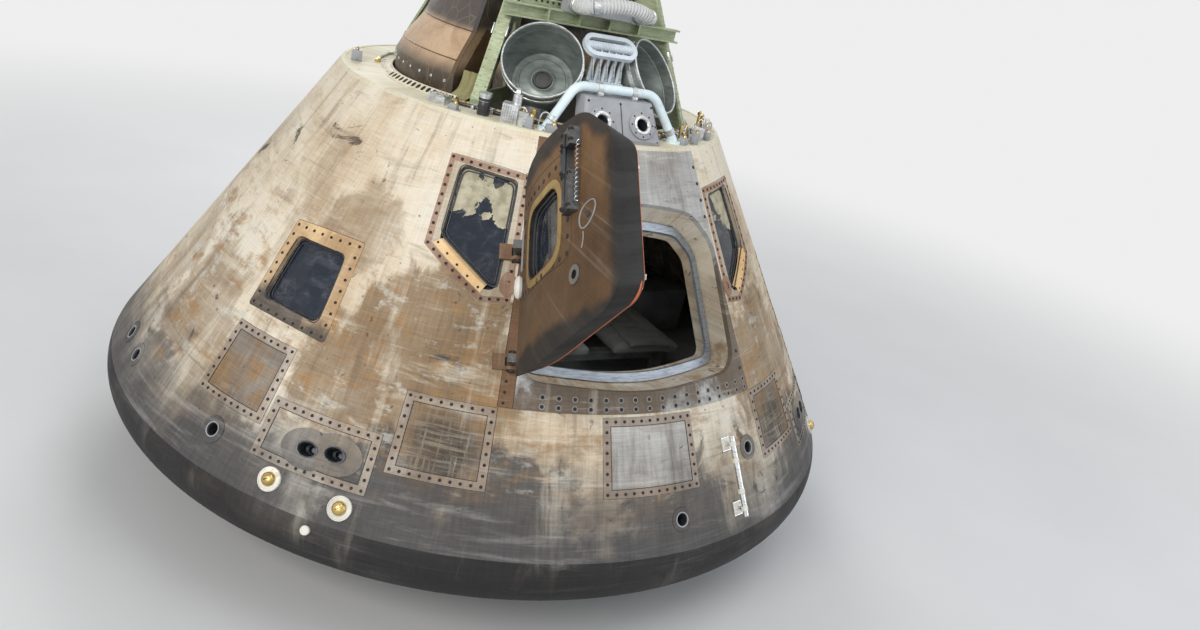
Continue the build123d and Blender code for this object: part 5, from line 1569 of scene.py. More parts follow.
@dataclass
class HatchBack(Trim):
    """Inside of the side hatch: latch links, liner panels, gearbox, handle and dials."""

    body = HATCH
    opening: Opening
    plan: HatchPlan = field(default_factory=HatchPlan)
    back: float = 0.158
    latches: int = 18
    drive: Pair = (-0.07, 0.14)
    hook_rim: Pair = (-0.052, 0.14)
    chain_line: Pair = (-0.058, 0.15)
    bead_line: Pair = (-0.0018, 0.1)
    gearbox_at: Pair = (-0.01, -0.15)

    def inner(self, x: float, y: float, out: float = 0.0) -> Matrix:
        """Place on the liner's inner face, across and up from its middle, z towards the cabin."""
        down = -self.back - self.plan.sag(x, y) - out
        return self.opening.matrix() @ self.plan.plane() @ at(x, y, down) @ turn(180, "Y")

    def swing(self) -> Matrix:
        """From the hatch's plane to the swung hatch."""
        return self.opening.matrix() @ self.plan.plane()

    def latch_links(self) -> None:
        """Makes the rollers, hooks and rods round the edge."""
        put = self.put
        ring = [spot + Vector((0, 0, 0.004)) for spot in self.plan.layer(*self.drive)]
        whole = [self.swing() @ spot for spot in ring]
        put(tube(whole, 0.0045, 2, closed=True), "latch_drive_rod", "bare_metal")
        rollers, hooks = [], []
        outer = self.plan.layer(*self.hook_rim)
        for index in range(self.latches):
            angle = math.tau * (index + 0.5) / self.latches
            ray = Vector((math.cos(angle), math.sin(angle)))
            spot = max(ring, key=lambda p: Vector((p.x, p.y)).normalized().dot(ray))
            rim = max(outer, key=lambda p: Vector((p.x, p.y)).normalized().dot(ray))
            z = -0.15 - self.plan.sag(spot.x, spot.y)
            lean = turn(math.degrees(angle), "Z")
            here = self.swing() @ at(spot.x, spot.y, z) @ lean
            rollers.append(here)
            ends = [Vector((spot.x, spot.y, z)), Vector((spot.x, spot.y, z - 0.014)),
                Vector((rim.x, rim.y, z - 0.016)), Vector((rim.x, rim.y, z + 0.004))]
            hooks.append(tube([self.swing() @ end for end in ends], 0.0036, 1))
        put(lathe(20, 4, -9, 12.5, -9, 12.5, -6, 9, -4, 9, 4, 12.5, 6, 12.5, 9, 4, 9),
            "latch_rollers", "bare_metal", rollers)
        put(block((0.034, 0.018, 0.005), 0.0015), "latch_plates", "bare_metal",
            [r @ at(0.004, 0, -0.011) for r in rollers])
        put(hooks, "latch_hooks", "bare_metal")
        self.chain()

    def chain(self) -> None:
        """Makes the link chain along the edge and the bead of the gasket."""
        put = self.put
        line = [self.swing() @ p for p in self.plan.layer(*self.chain_line)]
        put(tube(line, 0.0035, 2, closed=True), "latch_chain_rod", "chrome")
        link = block((0.012, 0.01, 0.03), 0.004)
        link.faces(lambda c, n: abs(n.x) > FACING).inset(0.003).extrude((0, 0, 0))
        places = stations(line, 0.046, closed=True)
        put(link, "latch_chain_links", "chrome", places)
        put(lathe(12, 3, -11, 5.5, -11, 5.5, -8, 3, -7, 3, 7, 5.5, 8, 5.5, 11, 3, 11),
            "latch_chain_pins", "bare_metal", [m @ at(0, 0, 0.023) @ turn(90, "X") for m in places])
        bead = [self.swing() @ p for p in self.plan.layer(*self.bead_line)]
        put(tube(bead, 0.0042, 2, closed=True), "hatch_gasket_bead", "gasket")

    def liner_panels(self) -> None:
        """Makes the raised liner panels and their screws."""
        put = self.put
        panels, heads = [], []
        for x, y, wide, high in ((-0.262, 0.02, 0.15, 0.33), (0.305, 0.0, 0.12, 0.3),
                (0.02, -0.15, 0.38, 0.1)):
            lean = -math.degrees(math.asin(max(-1, min(1, x / 1.2))))
            here = self.inner(x, y, 0.008) @ turn(lean, "Y")
            shape = block((wide, high, 0.016), 0.004)
            shape.facing(2).inset(0.014).extrude((0, 0, -0.003))
            panels.append(shape.done(here))
            for sx in (-1, 1):
                for sy in (-1, 0, 1):
                    heads.append(here @ at(sx * (wide / 2 - 0.009), sy * (high / 2 - 0.009), 0.008))
        put(panels, "liner_panels", "cabin_grey")
        put(screw(0.005, 0.002), "liner_screws", "bare_metal", heads)

    def gearbox(self) -> None:
        """Makes the gearbox, its handle, the push rods and the dials."""
        put = self.put
        here = self.inner(*self.gearbox_at, 0.018)
        case = block((0.2, 0.11, 0.05), 0.012, 3)
        case.facing(2).inset(0.014).extrude((0, 0, 0.008))
        put(case.done(here @ at(0, 0, 0.02)), "hatch_gearbox", "bare_metal")
        put(lathe(28, 40, 0, 40, 20, 32, 26, 20, 26, 18, 34, 0, 34).done(here @ at(0.03, 0, 0.045)),
            "gearbox_hub", "bare_metal")
        grip = [(0.03, 0, 0.07), (0.06, 0.03, 0.085), (0.12, 0.06, 0.088), (0.2, 0.08, 0.08),
            (0.25, 0.08, 0.07)]
        put(tube([here @ Vector(p) for p in grip], 0.011, 3), "hatch_handle", "chrome")
        end = here @ Vector(grip[-1])
        put(bar(here @ Vector((0.17, 0.075, 0.082)), end, 0.016), "hatch_handle_grip",
            "black_fitting")
        rods = []
        for x0, y0, x1, y1 in ((-0.08, -0.12, -0.2, 0.18), (0.07, -0.12, 0.24, 0.15),
                (-0.1, -0.16, -0.34, -0.17), (0.09, -0.16, 0.36, -0.16)):
            rods.append(bar(self.inner(x0, y0, 0.03).translation,
                self.inner(x1, y1, 0.022).translation, 0.006))
        put(rods, "gearbox_rods", "bare_metal")
        put(lathe(28, 30, 0, 30, 12, 26, 15, 24, 11, 0, 11), "hatch_dials", "black_fitting",
            [self.inner(0.31, y, 0.018) for y in (-0.1, 0.02)])

    def build(self) -> None:
        """Makes everything on the inside."""
        self.latch_links()
        self.liner_panels()
        self.gearbox()


@dataclass
class HingeTrim(Trim):
    """Nuts on the pins of the two hatch hinges."""

    low: Vector = Vector((-0.608, -1.45357, 1.255))
    high: Vector = Vector((-0.529, -1.13754, 1.759))
    shares: Pair = (0.12, 0.88)
    half: float = 0.0385

    def build(self) -> None:
        """Makes a nut for either end of each pin."""
        axis = (self.high - self.low).normalized()
        places = []
        for share in self.shares:
            middle = self.low + (self.high - self.low) * share
            for side in (-1, 1):
                flip = turn(0 if side > 0 else 180, "X")
                places.append(aimed(middle + axis * side * self.half, axis) @ flip)
        self.put(lathe(6, 9, -2, 15.5, -2, 15.5, 4, 12, 7, 5, 7, 4.5, 4, 0, 4), "hinge_pin_nuts",
            "bolt", places)


@dataclass
class NoseDeck(Trim):
    """Harness, connectors, clamps and small fittings on the deck ring."""

    deck: float = 2.138
    rim: float = 0.9905
    curb_r: float = 0.807
    harness_r: float = 0.825
    clamp_r: float = 0.809
    valve_r: float = 0.885
    pipe_r: float = 0.9

    def rivets(self) -> None:
        """Makes the screw rows, the rim strip and the curbs with their holes."""
        put = self.put
        places = [around(a, r, self.deck) for r, step in ((0.972, 3.0), (0.75, 4.0))
            for a in [i * step for i in range(round(360 / step))]]
        put(screw(0.0048, 0.0024, 8), "deck_screws", "bare_metal", places)
        put(lathe(120, 962, 2137.5, 962, 2140.5, 980.5, 2140.5, 982.5, 2137.5), "deck_rim_strip",
            "ring_cream")
        eyes = [around(side * (53.5 + 2.3 * i), self.curb_r, self.deck + 0.0145) @ turn(38, "X")
            for side in (-1, 1) for i in range(14)]
        put(block((0.0335, 0.046, 0.004), 0.001), "deck_curb", "ring_cream", eyes)
        eye = lathe(16, 10.5, 1, 10.5, 3.6, 12.2, 3.6, 13, 1)
        eye.all().resize((1, 1.5, 1))
        put(eye, "deck_hole_rims", "ring_cream", eyes)
        pit = lathe(16, 11, 0, 11, 2.5, 0, 2.5)
        pit.all().resize((1, 1.5, 1))
        put(pit, "deck_hole_plugs", "bolt", eyes)
        put(lathe(120, 736, 2120, 733, 2140, 736, 2147.5, 744, 2147.5, 747, 2137.5),
            "deck_inner_curb", "ring_cream")

    def harness(self) -> None:
        """Makes the wire bundles, their clamps and connectors."""
        put = self.put
        clamps, plugs = [], []
        for name, slot, radius, spread, spans in (("deck_harness_dark", "black_fitting", 0.0085,
                0.0, ((-51, -14), (20, 51), (120, 200))), ("deck_harness_cream", "hose_cloth",
                0.0065, 0.018, ((-49, -20), (26, 50), (210, 250))),
                ("deck_harness_tan", "frame_tan", 0.0055, 0.033, ((-48, -24), (34, 49)))):
            runs = []
            for start, end in spans:
                line = []
                for index in range(13):
                    a = math.radians(start + (end - start) * index / 12)
                    r = self.harness_r - spread + 0.006 * math.sin(index * 1.9 + spread * 90)
                    line.append((r * math.sin(a), -r * math.cos(a),
                        self.deck + radius + (0.002 if index % 3 else 0.0)))
                runs.append(tube(line, radius, 2))
                if spread == 0.0:
                    count = round((end - start) / 6)
                    for index in range(count + 1):
                        clamps.append(around(start + (end - start) * index / count, self.clamp_r,
                            self.deck))
                plugs += [around(a, self.harness_r - spread, self.deck + radius) @ turn(lean, "Y")
                    for a, lean in ((end, 90), (start, -90))]
            put(runs, name, slot)
        put(block((0.014, 0.07, 0.02), 0.003), "harness_clamps", "bare_metal",
            [c @ at(0, 0, 0.008) for c in clamps])
        put(lathe(16, 9, -12, 15, -10, 15, 0, 12.5, 2, 12.5, 12, 14.5, 14, 14.5, 26, 9, 28, 0, 28),
            "harness_plugs", "brass", plugs)

    def fittings(self) -> None:
        """Makes small boxes with their caps, valves and pipes between the units."""
        put = self.put
        boxes, caps, nuts = [], [], []
        for azimuth, inset, size, high in ((-21, 0.06, (0.05, 0.035), 0.03),
                (-47.5, 0.05, (0.035, 0.03), 0.025), (-27, 0.05, (0.03, 0.04), 0.05),
                (24.5, 0.06, (0.04, 0.035), 0.03), (29.5, 0.04, (0.028, 0.028), 0.055),
                (42.5, 0.05, (0.05, 0.03), 0.035), (47.5, 0.07, (0.03, 0.045), 0.05),
                (62, 0.06, (0.05, 0.04), 0.035), (110, 0.08, (0.09, 0.06), 0.05),
                (160, 0.08, (0.07, 0.06), 0.06), (205, 0.08, (0.1, 0.05), 0.05),
                (255, 0.08, (0.07, 0.05), 0.05)):
            here = around(azimuth, self.rim - inset, self.deck)
            boxes.append((here, size, high))
            caps.append(here @ at(size[0] * 0.2, 0, high))
            nuts += [here @ at(x * (size[0] / 2 + 0.006), 0, 0.003) for x in (-1, 1)]
        made = []
        for here, (wide, deep), high in boxes:
            shape = block((wide, deep, high), 0.003)
            shape.facing(2).inset(0.003).extrude((0, 0, 0.003))
            made.append(shape.done(here @ at(0, 0, high / 2)))
            made.append(block((wide + 0.026, deep * 0.6, 0.004),
                0.001).done(here @ at(0, 0, 0.002)))
        put(made, "deck_fittings", "block_grey")
        put(lathe(14, 9, -3, 9, 8, 7, 11, 5, 11, 5, 18, 0, 18), "deck_fitting_caps", "brass", caps)
        put(screw(0.004, 0.003), "deck_fitting_screws", "bolt", nuts)
        tall = lathe(16, 12, 0, 12, 6, 7, 9, 7, 50, 11, 53, 11, 70, 4, 76, 0, 76)
        spots = [around(a, self.valve_r, self.deck) for a in (-29, -26.2, 27, 31, 49.5, 58.5, 66)]
        put(tall, "deck_valves", "brass", spots)
        pipes = []
        for a in (-31, -24.5, 28, 33.5, 46, 52.5, 60):
            place = around(a, self.pipe_r, self.deck)
            line = [(0, 0, 0), (0, 0, 0.05), (0.01, 0.01, 0.075), (0.045, 0.01, 0.075),
                (0.05, 0.0, 0.04), (0.05, 0, 0)]
            pipes.append(tube([place @ Vector(p) for p in line], 0.0036, 2))
        put(pipes, "deck_pipes", "bare_metal")

    def units(self) -> None:
        """Makes ribs, straps and caps on the larger units."""
        put = self.put
        can = around(-40, self.rim - 0.086, self.deck)
        put(lathe(28, 24.5, -6, 27.5, -5, 27.5, 5, 24.5, 6), "deck_can_bands", "black_fitting",
            [can @ at(0, 0, z) for z in (0.012, 0.04, 0.072)])
        put(lathe(28, 24.5, 4, 25.8, 6, 25.8, 62, 24.5, 64).done(can), "deck_can_sleeve",
            "black_fitting")
        silver = around(-32.5, self.rim - 0.086, self.deck)
        fins = [silver @ at(x, 0, 0.042) for x in (-0.03, -0.02, -0.01, 0.0, 0.01, 0.02)]
        put(block((0.0045, 0.076, 0.078), 0.001), "deck_unit_fins", "bare_metal", fins)
        put(lathe(20, 12, -11, 21, -9, 21, 9, 12, 11).done(silver @ at(0.02, 0.01, 0.132)
            @ turn(90, "Y")), "deck_unit_lug", "bare_metal")
        tray = around(-53.5, self.rim - 0.091, self.deck)
        put(screw(0.004, 0.002), "deck_tray_screws", "bolt",
            [tray @ at(x * 0.035, y * 0.022, 0.04) for x in (-1, 0, 1) for y in (-1, 1)])

    def build(self) -> None:
        """Makes everything on the ring."""
        self.rivets()
        self.harness()
        self.fittings()
        self.units()


@dataclass
class Cups(Trim):
    """Rolled rims, weld rings and bottom plugs of the two mortar cups."""

    mouth: Triple = (0.305, -0.614, 2.398)
    azimuth: float = 33.0
    tilt: float = 35.0
    radius: float = 0.185

    def place(self, side: int) -> Matrix:
        """Mouth of one cup, z out of it."""
        x, y, z = self.mouth
        a, t = math.radians(self.azimuth), math.radians(self.tilt)
        way = Vector((side * math.sin(a) * math.cos(t), -math.cos(a) * math.cos(t), math.sin(t)))
        return aimed((side * x, y, z), way)

    def build(self) -> None:
        """Makes the trim of both cups."""
        put = self.put
        places = [self.place(side) for side in (1, -1)]
        r = self.radius
        put(turned([(r - 0.0068, -0.012), (r - 0.0085, -0.001), (r - 0.006, 0.0035),
            (r - 0.001, 0.0035), (r + 0.0018, 0.0), (r + 0.0014, -0.01)], 72), "cup_rims",
            "bare_metal", places)
        put(turned([(r - 0.0072, -0.0035), (r - 0.0094, 0), (r - 0.0072, 0.0035)], 72), "cup_welds",
            "cup_metal", [p @ at(0, 0, -0.058) for p in places])
        put(lathe(60, 125, -207.8, 123, -204, 112, -203, 108, -207.8), "cup_seats", "cup_metal",
            places)
        put(lathe(40, 46, -205, 47.5, -190, 43, -184, 36, -184.5, 33, -190, 20, -187, 0, -186),
            "cup_plugs", "mesh_dark", places)
        put(lathe(60, 130, -208.5, 100, -207.5, 75, -204.5, 60, -200, 52, -193, 48, -193, 48, -210),
            "cup_dishes", "cup_metal", places)
        outer = [p @ turn(a, "Z") @ at(r + 0.0005, 0, z) @ turn(90, "Y") for p in places
            for a in range(0, 360, 15) for z in (-0.03,)]
        put(screw(0.0035, 0.0022, 8), "cup_skirt_rivets", "bare_metal", outer)
        put(turned([(r - 0.001, -0.011), (r + 0.003, -0.009), (r + 0.003, 0.009),
            (r - 0.001, 0.011)], 72), "cup_hoops", "bare_metal",
            [p @ at(0, 0, -0.045) for p in places])


@dataclass
class TopBlock(Trim):
    """Port rings, screws and seams of the thruster block, and the fittings of its handrail."""

    slope: float = 0.612
    face_y: float = -0.8918
    face_z: float = 2.215
    port_x: float = 0.105
    rail: Sequence[Triple] = ((-0.341, -0.8297, 2.146), (-0.207, -0.7853, 2.338),
        (0.207, -0.7853, 2.338), (0.341, -0.8297, 2.146))

    def build(self) -> None:
        """Makes the trim of the block and the handrail."""
        put = self.put
        lean = math.degrees(math.atan(self.slope))
        middle = at(0, self.face_y, self.face_z) @ turn(90 - lean, "X")
        face = [at(s * self.port_x, 0, 0) @ middle for s in (-1, 1)]
        put(lathe(40, 28.5, -30, 28.5, 8, 32, 12.5, 43, 11.5, 45, 7), "block_port_rings",
            "bare_metal", face)
        put(lathe(32, 28.4, 0, 27, -12, 20, -30, 16, -70, 0, -72), "block_throats", "nozzle_dark",
            face)
        heads = [f @ turn(a, "Z") @ at(0.055, 0, 0.008) for f in face for a in range(0, 360, 45)]
        put(screw(0.0042, 0.002), "block_port_screws", "bolt", heads)
        corners = [middle @ at(x, y, 0.0005) for x, y in ((-0.185, -0.075), (0.185, -0.075),
            (-0.165, 0.088), (0.165, 0.088), (0, 0.088), (0, -0.075), (-0.178, 0.0), (0.178, 0.0))]
        put(screw(0.0055, 0.002), "block_screws", "bolt", corners)
        put(block((0.0035, 0.19, 0.002), 0.0005).done(middle @ at(0, 0, 0.0006)), "block_seam",
            "bolt")
        put(block((0.39, 0.018, 0.004), 0.001).done(middle @ at(0, -0.0845, 0.001)), "block_skirt",
            "collar_grey")
        rail = self.rail
        sleeve = lathe(28, 20.5, -14, 25.5, -11, 25.5, 11, 20.5, 14)
        spots = []
        for (x0, y0, z0), (x1, y1, z1), shares in ((rail[0], rail[1], (0.2,)),
                (rail[1], rail[2], (0.28, 0.72)), (rail[3], rail[2], (0.2,))):
            way = Vector((x1 - x0, y1 - y0, z1 - z0))
            spots += [aimed(Vector((x0, y0, z0)) + way * s, way) for s in shares]
        put(sleeve, "handrail_sleeves", "bare_metal", spots)
        feet = [at(s * 0.341, -0.8297, 2.15) @ turn(a, "Z") @ at(0.029, 0, 0) for s in (-1, 1)
            for a in (45, 135, 225, 315)]
        put(screw(0.0042, 0.0035, 6), "handrail_bolts", "bare_metal", feet)
        stays = [at(0.09 * i, -0.79, 2.313) for i in (-1, 1)]
        put(block((0.03, 0.05, 0.02), 0.004), "handrail_stays", "bare_metal", stays)


@dataclass
class Framework(Trim):
    """Rivets, stiffeners and plates of the gussets, the cross beam and the docking ring."""

    foot: Triple = (0.80008, 0, 2.178)
    head: Triple = (0.5, 0, 2.8)
    plate: Triple = (-0.245, -0.437, 2.598)
    azimuths: Sequence[float] = (45.0, -45.0, 135.0, -135.0)
    rivet_pitch: float = 0.042

    def gusset(self, azimuth: float) -> Matrix:
        """Frame of one gusset: x outwards, z up."""
        return turn(azimuth - 90, "Z")

    def build(self) -> None:
        """Makes the trim of all of them."""
        put = self.put
        low, high = Vector(self.foot), Vector(self.head)
        slope = (high - low).normalized()
        heads, beads = [], []
        for azimuth in self.azimuths:
            here = self.gusset(azimuth)
            for y in (-0.02, 0.02):
                for index in range(16):
                    spot = low + slope * (0.025 + index * self.rivet_pitch)
                    heads.append(here @ Matrix.Translation(spot + Vector((0, y, 0)))
                        @ turn(64.2, "Y"))
            for x in (-1, 1):
                for y in (-0.042, 0.042):
                    heads.append(here @ at(0.765 + x * 0.02, y, 2.148))
            beads.append(bar(here @ Vector((0.45, 0.008, 2.2)), here @ Vector((0.45, 0.008, 2.76)),
                0.006))
            beads.append(bar(here @ Vector((0.46, 0.008, 2.62)), here @ Vector((0.55, 0.008, 2.62)),
                0.006))
        put(screw(0.0048, 0.0026, 8), "gusset_rivets", "chromate", heads)
        put(beads, "gusset_stiffeners", "chromate")
        clips = [self.gusset(a) @ at(0.655, s * 0.034, 2.478) @ turn(-25.8, "Y")
            for a in self.azimuths for s in (-1, 1)]
        put(block((0.012, 0.006, 0.05), 0.0015), "gusset_clips", "bare_metal", clips)
        holes = []
        plate = block((0.27, 0.006, 0.088), 0.002)
        plate.facing(1, -1).inset(0.006).extrude((0, 0.0012, 0))
        put(plate.done(at(*self.plate)), "beam_plate", "chromate")
        for row in (-0.03, 0.03):
            for index in range(9):
                holes.append(at(-0.245 + (index - 4) * 0.029, -0.44, 2.598 + row) @ turn(90, "X"))
        put(lathe(12, 5.5, -1, 5.5, 1.4, 3, 1.4, 3, 0.4, 0, 0.4), "beam_plate_holes", "bolt", holes)
        rivets = [at((i - 14) * 0.03, -0.496, z) @ turn(90, "X") for i in range(29)
            for z in (2.554, 2.606) if abs(i - 14) < 14]
        put(screw(0.0035, 0.002, 8), "beam_rivets", "chromate", rivets)
        self.docking()

    def docking(self) -> None:
        """Makes the rings, latches and bolts of the tunnel and its flange."""
        put = self.put
        put(lathe(96, 419.5, -12, 427, -8, 427, 8, 419.5, 12), "tunnel_rings", "chromate",
            [at(0, 0, z) for z in (2.34, 2.55, 2.74)])
        put(lathe(96, 384, 2917, 384, 2919.5, 466, 2919.5, 466, 2918.5, 440, 2917), "docking_face",
            "bare_metal")
        bolts = [around(15 + a * 30, 0.445, 2.9192) for a in range(12)]
        put(screw(0.0066, 0.0008, 6), "docking_bolts", "bolt", bolts)
        latch = block((0.05, 0.03, 0.055), 0.006)
        latch.facing(2).inset(0.006).extrude((0, 0, -0.008))
        put(latch, "docking_latches", "bare_metal", [around(a * 30, 0.395, 2.85)
            for a in range(12)])
        put(lathe(96, 400, 2918.5, 402, 2920, 406, 2920, 408, 2918.5), "docking_seal",
            "black_fitting")


@dataclass
class RecoveryLoop(Trim):
    """Wrap, eyes, rods and pins of the recovery loop over its rack."""

    centre: Triple = (0.0, -0.655, 2.5)
    tilt: float = 45.0
    pitch: float = 0.038

    def build(self) -> None:
        """Makes the wrap, the eyes, the rods and the pins."""
        put = self.put
        here = at(*self.centre) @ turn(self.tilt, "X")
        wrap = lathe(20, 16.5, -4.5, 20.5, -2, 20.5, 2, 16.5, 4.5)
        line = [here @ at(-0.112 + i * 0.0085, 0, 0) @ turn(90, "Y") for i in range(27)]
        put(wrap, "loop_wrap", "enamel", line)
        eye = Shape(Start.RING, major_radius=0.017, minor_radius=0.0045, major_segments=24,
            minor_segments=10)
        spots = [at((i - 2) * self.pitch - 0.009, self.centre[1], 2.47) @ turn(90, "Y")
            for i in range(5)]
        put(eye, "loop_eyes", "bare_metal", spots)
        rods = []
        for index in range(5):
            x = (index - 2) * self.pitch
            for side in (-1, 1):
                rods.append(bar((x + 0.012 + side * 0.003, self.centre[1] + side * 0.012, 2.345),
                    (x - 0.008 + side * 0.003, self.centre[1] + side * 0.012, 2.475), 0.0042))
        put(rods, "loop_rods", "bare_metal")
        put(lathe(6, 9, -5, 9, 5, 7, 7.5, 0, 7.5), "loop_nuts", "bare_metal",
            [at((i - 2) * self.pitch + 0.011, -0.655, 2.351) for i in range(5)])
        ends = [here @ at(s * 0.122, 0, 0.0112) for s in (-1, 1)]
        put(screw(0.007, 0.003, 14), "loop_pins", "bolt", ends)


@dataclass
class VentHose(Trim):
    """Ribbed and lagged vent hose between its two spigots."""

    radius: float = 0.033
    rib_pitch: float = 0.0158
    line: Sequence[Triple] = ((-0.15, -0.5293, 2.647), (-0.15, -0.602, 2.647),
        (-0.145, -0.655, 2.657), (-0.05, -0.672, 2.679), (0.045, -0.684, 2.69),
        (0.13, -0.672, 2.672), (0.188, -0.65, 2.655), (0.19, -0.602, 2.647), (0.19, -0.5293, 2.647))

    def build(self) -> None:
        """Makes the hose, its ribs and its cuffs."""
        put = self.put
        core = tube(self.line, self.radius - 0.0065, 5)
        rib = lathe(24, 26.2, -6.4, 31.2, -4.2, 32.9, 0, 31.2, 4.2, 26.2, 6.4)
        hose = joined([core, copied(rib.done(), stations(self.line, self.rib_pitch)[1:])])
        put(hose, "ribbed_vent_hose", "hose_cloth")
        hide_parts("vent_hose")
        cuff = lathe(28, 32.5, -16, 35.5, -14, 35.5, 14, 32.5, 16)
        spots = stations(self.line, 0.145)
        put(cuff, "vent_hose_bands", "bare_metal", [spots[1], spots[3]])
        ends = [at(x, -0.545, 2.647) @ turn(90, "X") for x in (-0.15, 0.19)]
        put(lathe(28, 33, -20, 37, -17, 37, 2, 35.5, 4, 35.5, 14, 33, 16), "vent_hose_collars",
            "bare_metal", ends)


@dataclass
class BayCovers(Trim):
    """Side panels, tapes and buttons of the bay covers."""

    azimuths: Sequence[float] = (-90.0, 90.0, 180.0)
    half: float = 32.0
    profile: Outline = ((0.4205, 2.07), (0.7215, 2.07), (0.7215, 2.24), (0.6965, 2.3),
        (0.6098, 2.43), (0.5445, 2.64), (0.4205, 2.64))

    def side(self, azimuth: float, facing: int) -> Piece:
        """Thin panel over one radial side of a cover."""
        count = len(self.profile)
        shape = Shape(Start.CIRCLE, vertices=count, radius=1, fill_type="NGON")
        spots = iter(self.profile)

        def rule(_: Vector) -> Vector:
            """Lays one corner on the profile."""
            r, z = next(spots)
            return Vector((r, 0, z))

        shape.move(rule).all().inset(0.012)
        shape.extrude((0, 0.004 * facing, 0)).inset(0.02, 0.001)
        return shape.outwards().done(turn(azimuth - 90, "Z") @ at(0, 0.001 * facing, 0))

    def build(self) -> None:
        """Makes the panels, tapes and buttons."""
        put = self.put
        sides = [self.side(a + s * self.half, s) for a in self.azimuths for s in (-1, 1)]
        put(sides, "cover_sides", "copper_panel")
        tapes, buttons = [], []
        for middle in self.azimuths:
            for offset in (-31.2, 31.2):
                line = [(r + 0.0008, z) for r, z in self.profile[2:6]]
                spots = [around(middle + offset, r, z).translation for r, z in line]
                tapes.append(self.tape(spots, 0.011))
            for r, z in self.profile[3:6]:
                seam = [around(middle - 31 + 6.2 * i, r + 0.0015, z).translation for i in range(11)]
                tapes.append(tube(seam, 0.0032, 2))
            for index in range(9):
                buttons.append(around(middle - 28 + index * 7, 0.7222, 2.2) @ turn(90, "X"))
        put(tapes, "cover_tapes", "copper_panel")
        put(screw(0.008, 0.003, 14), "cover_buttons", "bare_metal", buttons)

    def tape(self, spots: Sequence[Vector], half: float) -> Piece:
        """Flat tape laid over the cover through several points."""
        count = len(spots) - 1
        shape = Shape(Start.GRID, x_subdivisions=count, y_subdivisions=1, size=1)
        across = Vector((-spots[0].y, spots[0].x, 0)).normalized()

        def rule(co: Vector) -> Vector:
            """Lays one vertex beside the line."""
            return spots[round((co.x + 0.5) * count)] + across * (half if co.y > 0 else -half)

        shape.move(rule)
        return modify(shape.done(), "SOLIDIFY", thickness=0.0016, offset=0.0)


@dataclass
class ClothFlap(Trim):
    """Folded khaki cloth that hangs over the deck ring beside the gusset."""

    azimuth: float = -53.0
    wide: float = 0.1

    def build(self) -> None:
        """Lays one folded sheet from the bay over the curb and down on the ring."""
        rows, columns = 40, 22
        shape = Shape(Start.GRID, x_subdivisions=columns, y_subdivisions=rows, size=1)
        line = run(((0.0, 0.008, 0.13), (0.0, 0.0, 0.115), (0.0, -0.016, 0.06),
            (0.0, -0.028, 0.022), (0.0, -0.05, 0.0165), (0.0, -0.082, 0.0135)))

        def rule(co: Vector) -> Vector:
            """Lays one thread crossing on the draped sheet."""
            share = co.y + 0.5
            spot = line[min(len(line) - 1, round(share * (len(line) - 1)))]
            wide = self.wide * (0.72 + 0.28 * share)
            fold = 0.0055 * math.sin(co.x * 16 + share * 2.2) + 0.004 * math.sin(co.x * 7 - share
                * 5)
            sway = 0.006 * math.sin(share * 6)
            return Vector((co.x * wide + sway, spot.y + fold * (1 - 0.6 * share),
                spot.z + abs(fold) * 0.8 * share))

        shape.move(rule)
        sheet = modify(shape.done(), "SOLIDIFY", thickness=0.0012, offset=0.0)
        sheet.data.transform(around(self.azimuth, 0.69, 2.138))
        self.put(sheet, "khaki_flap", "khaki_cloth")
        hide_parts("cloth_flap")


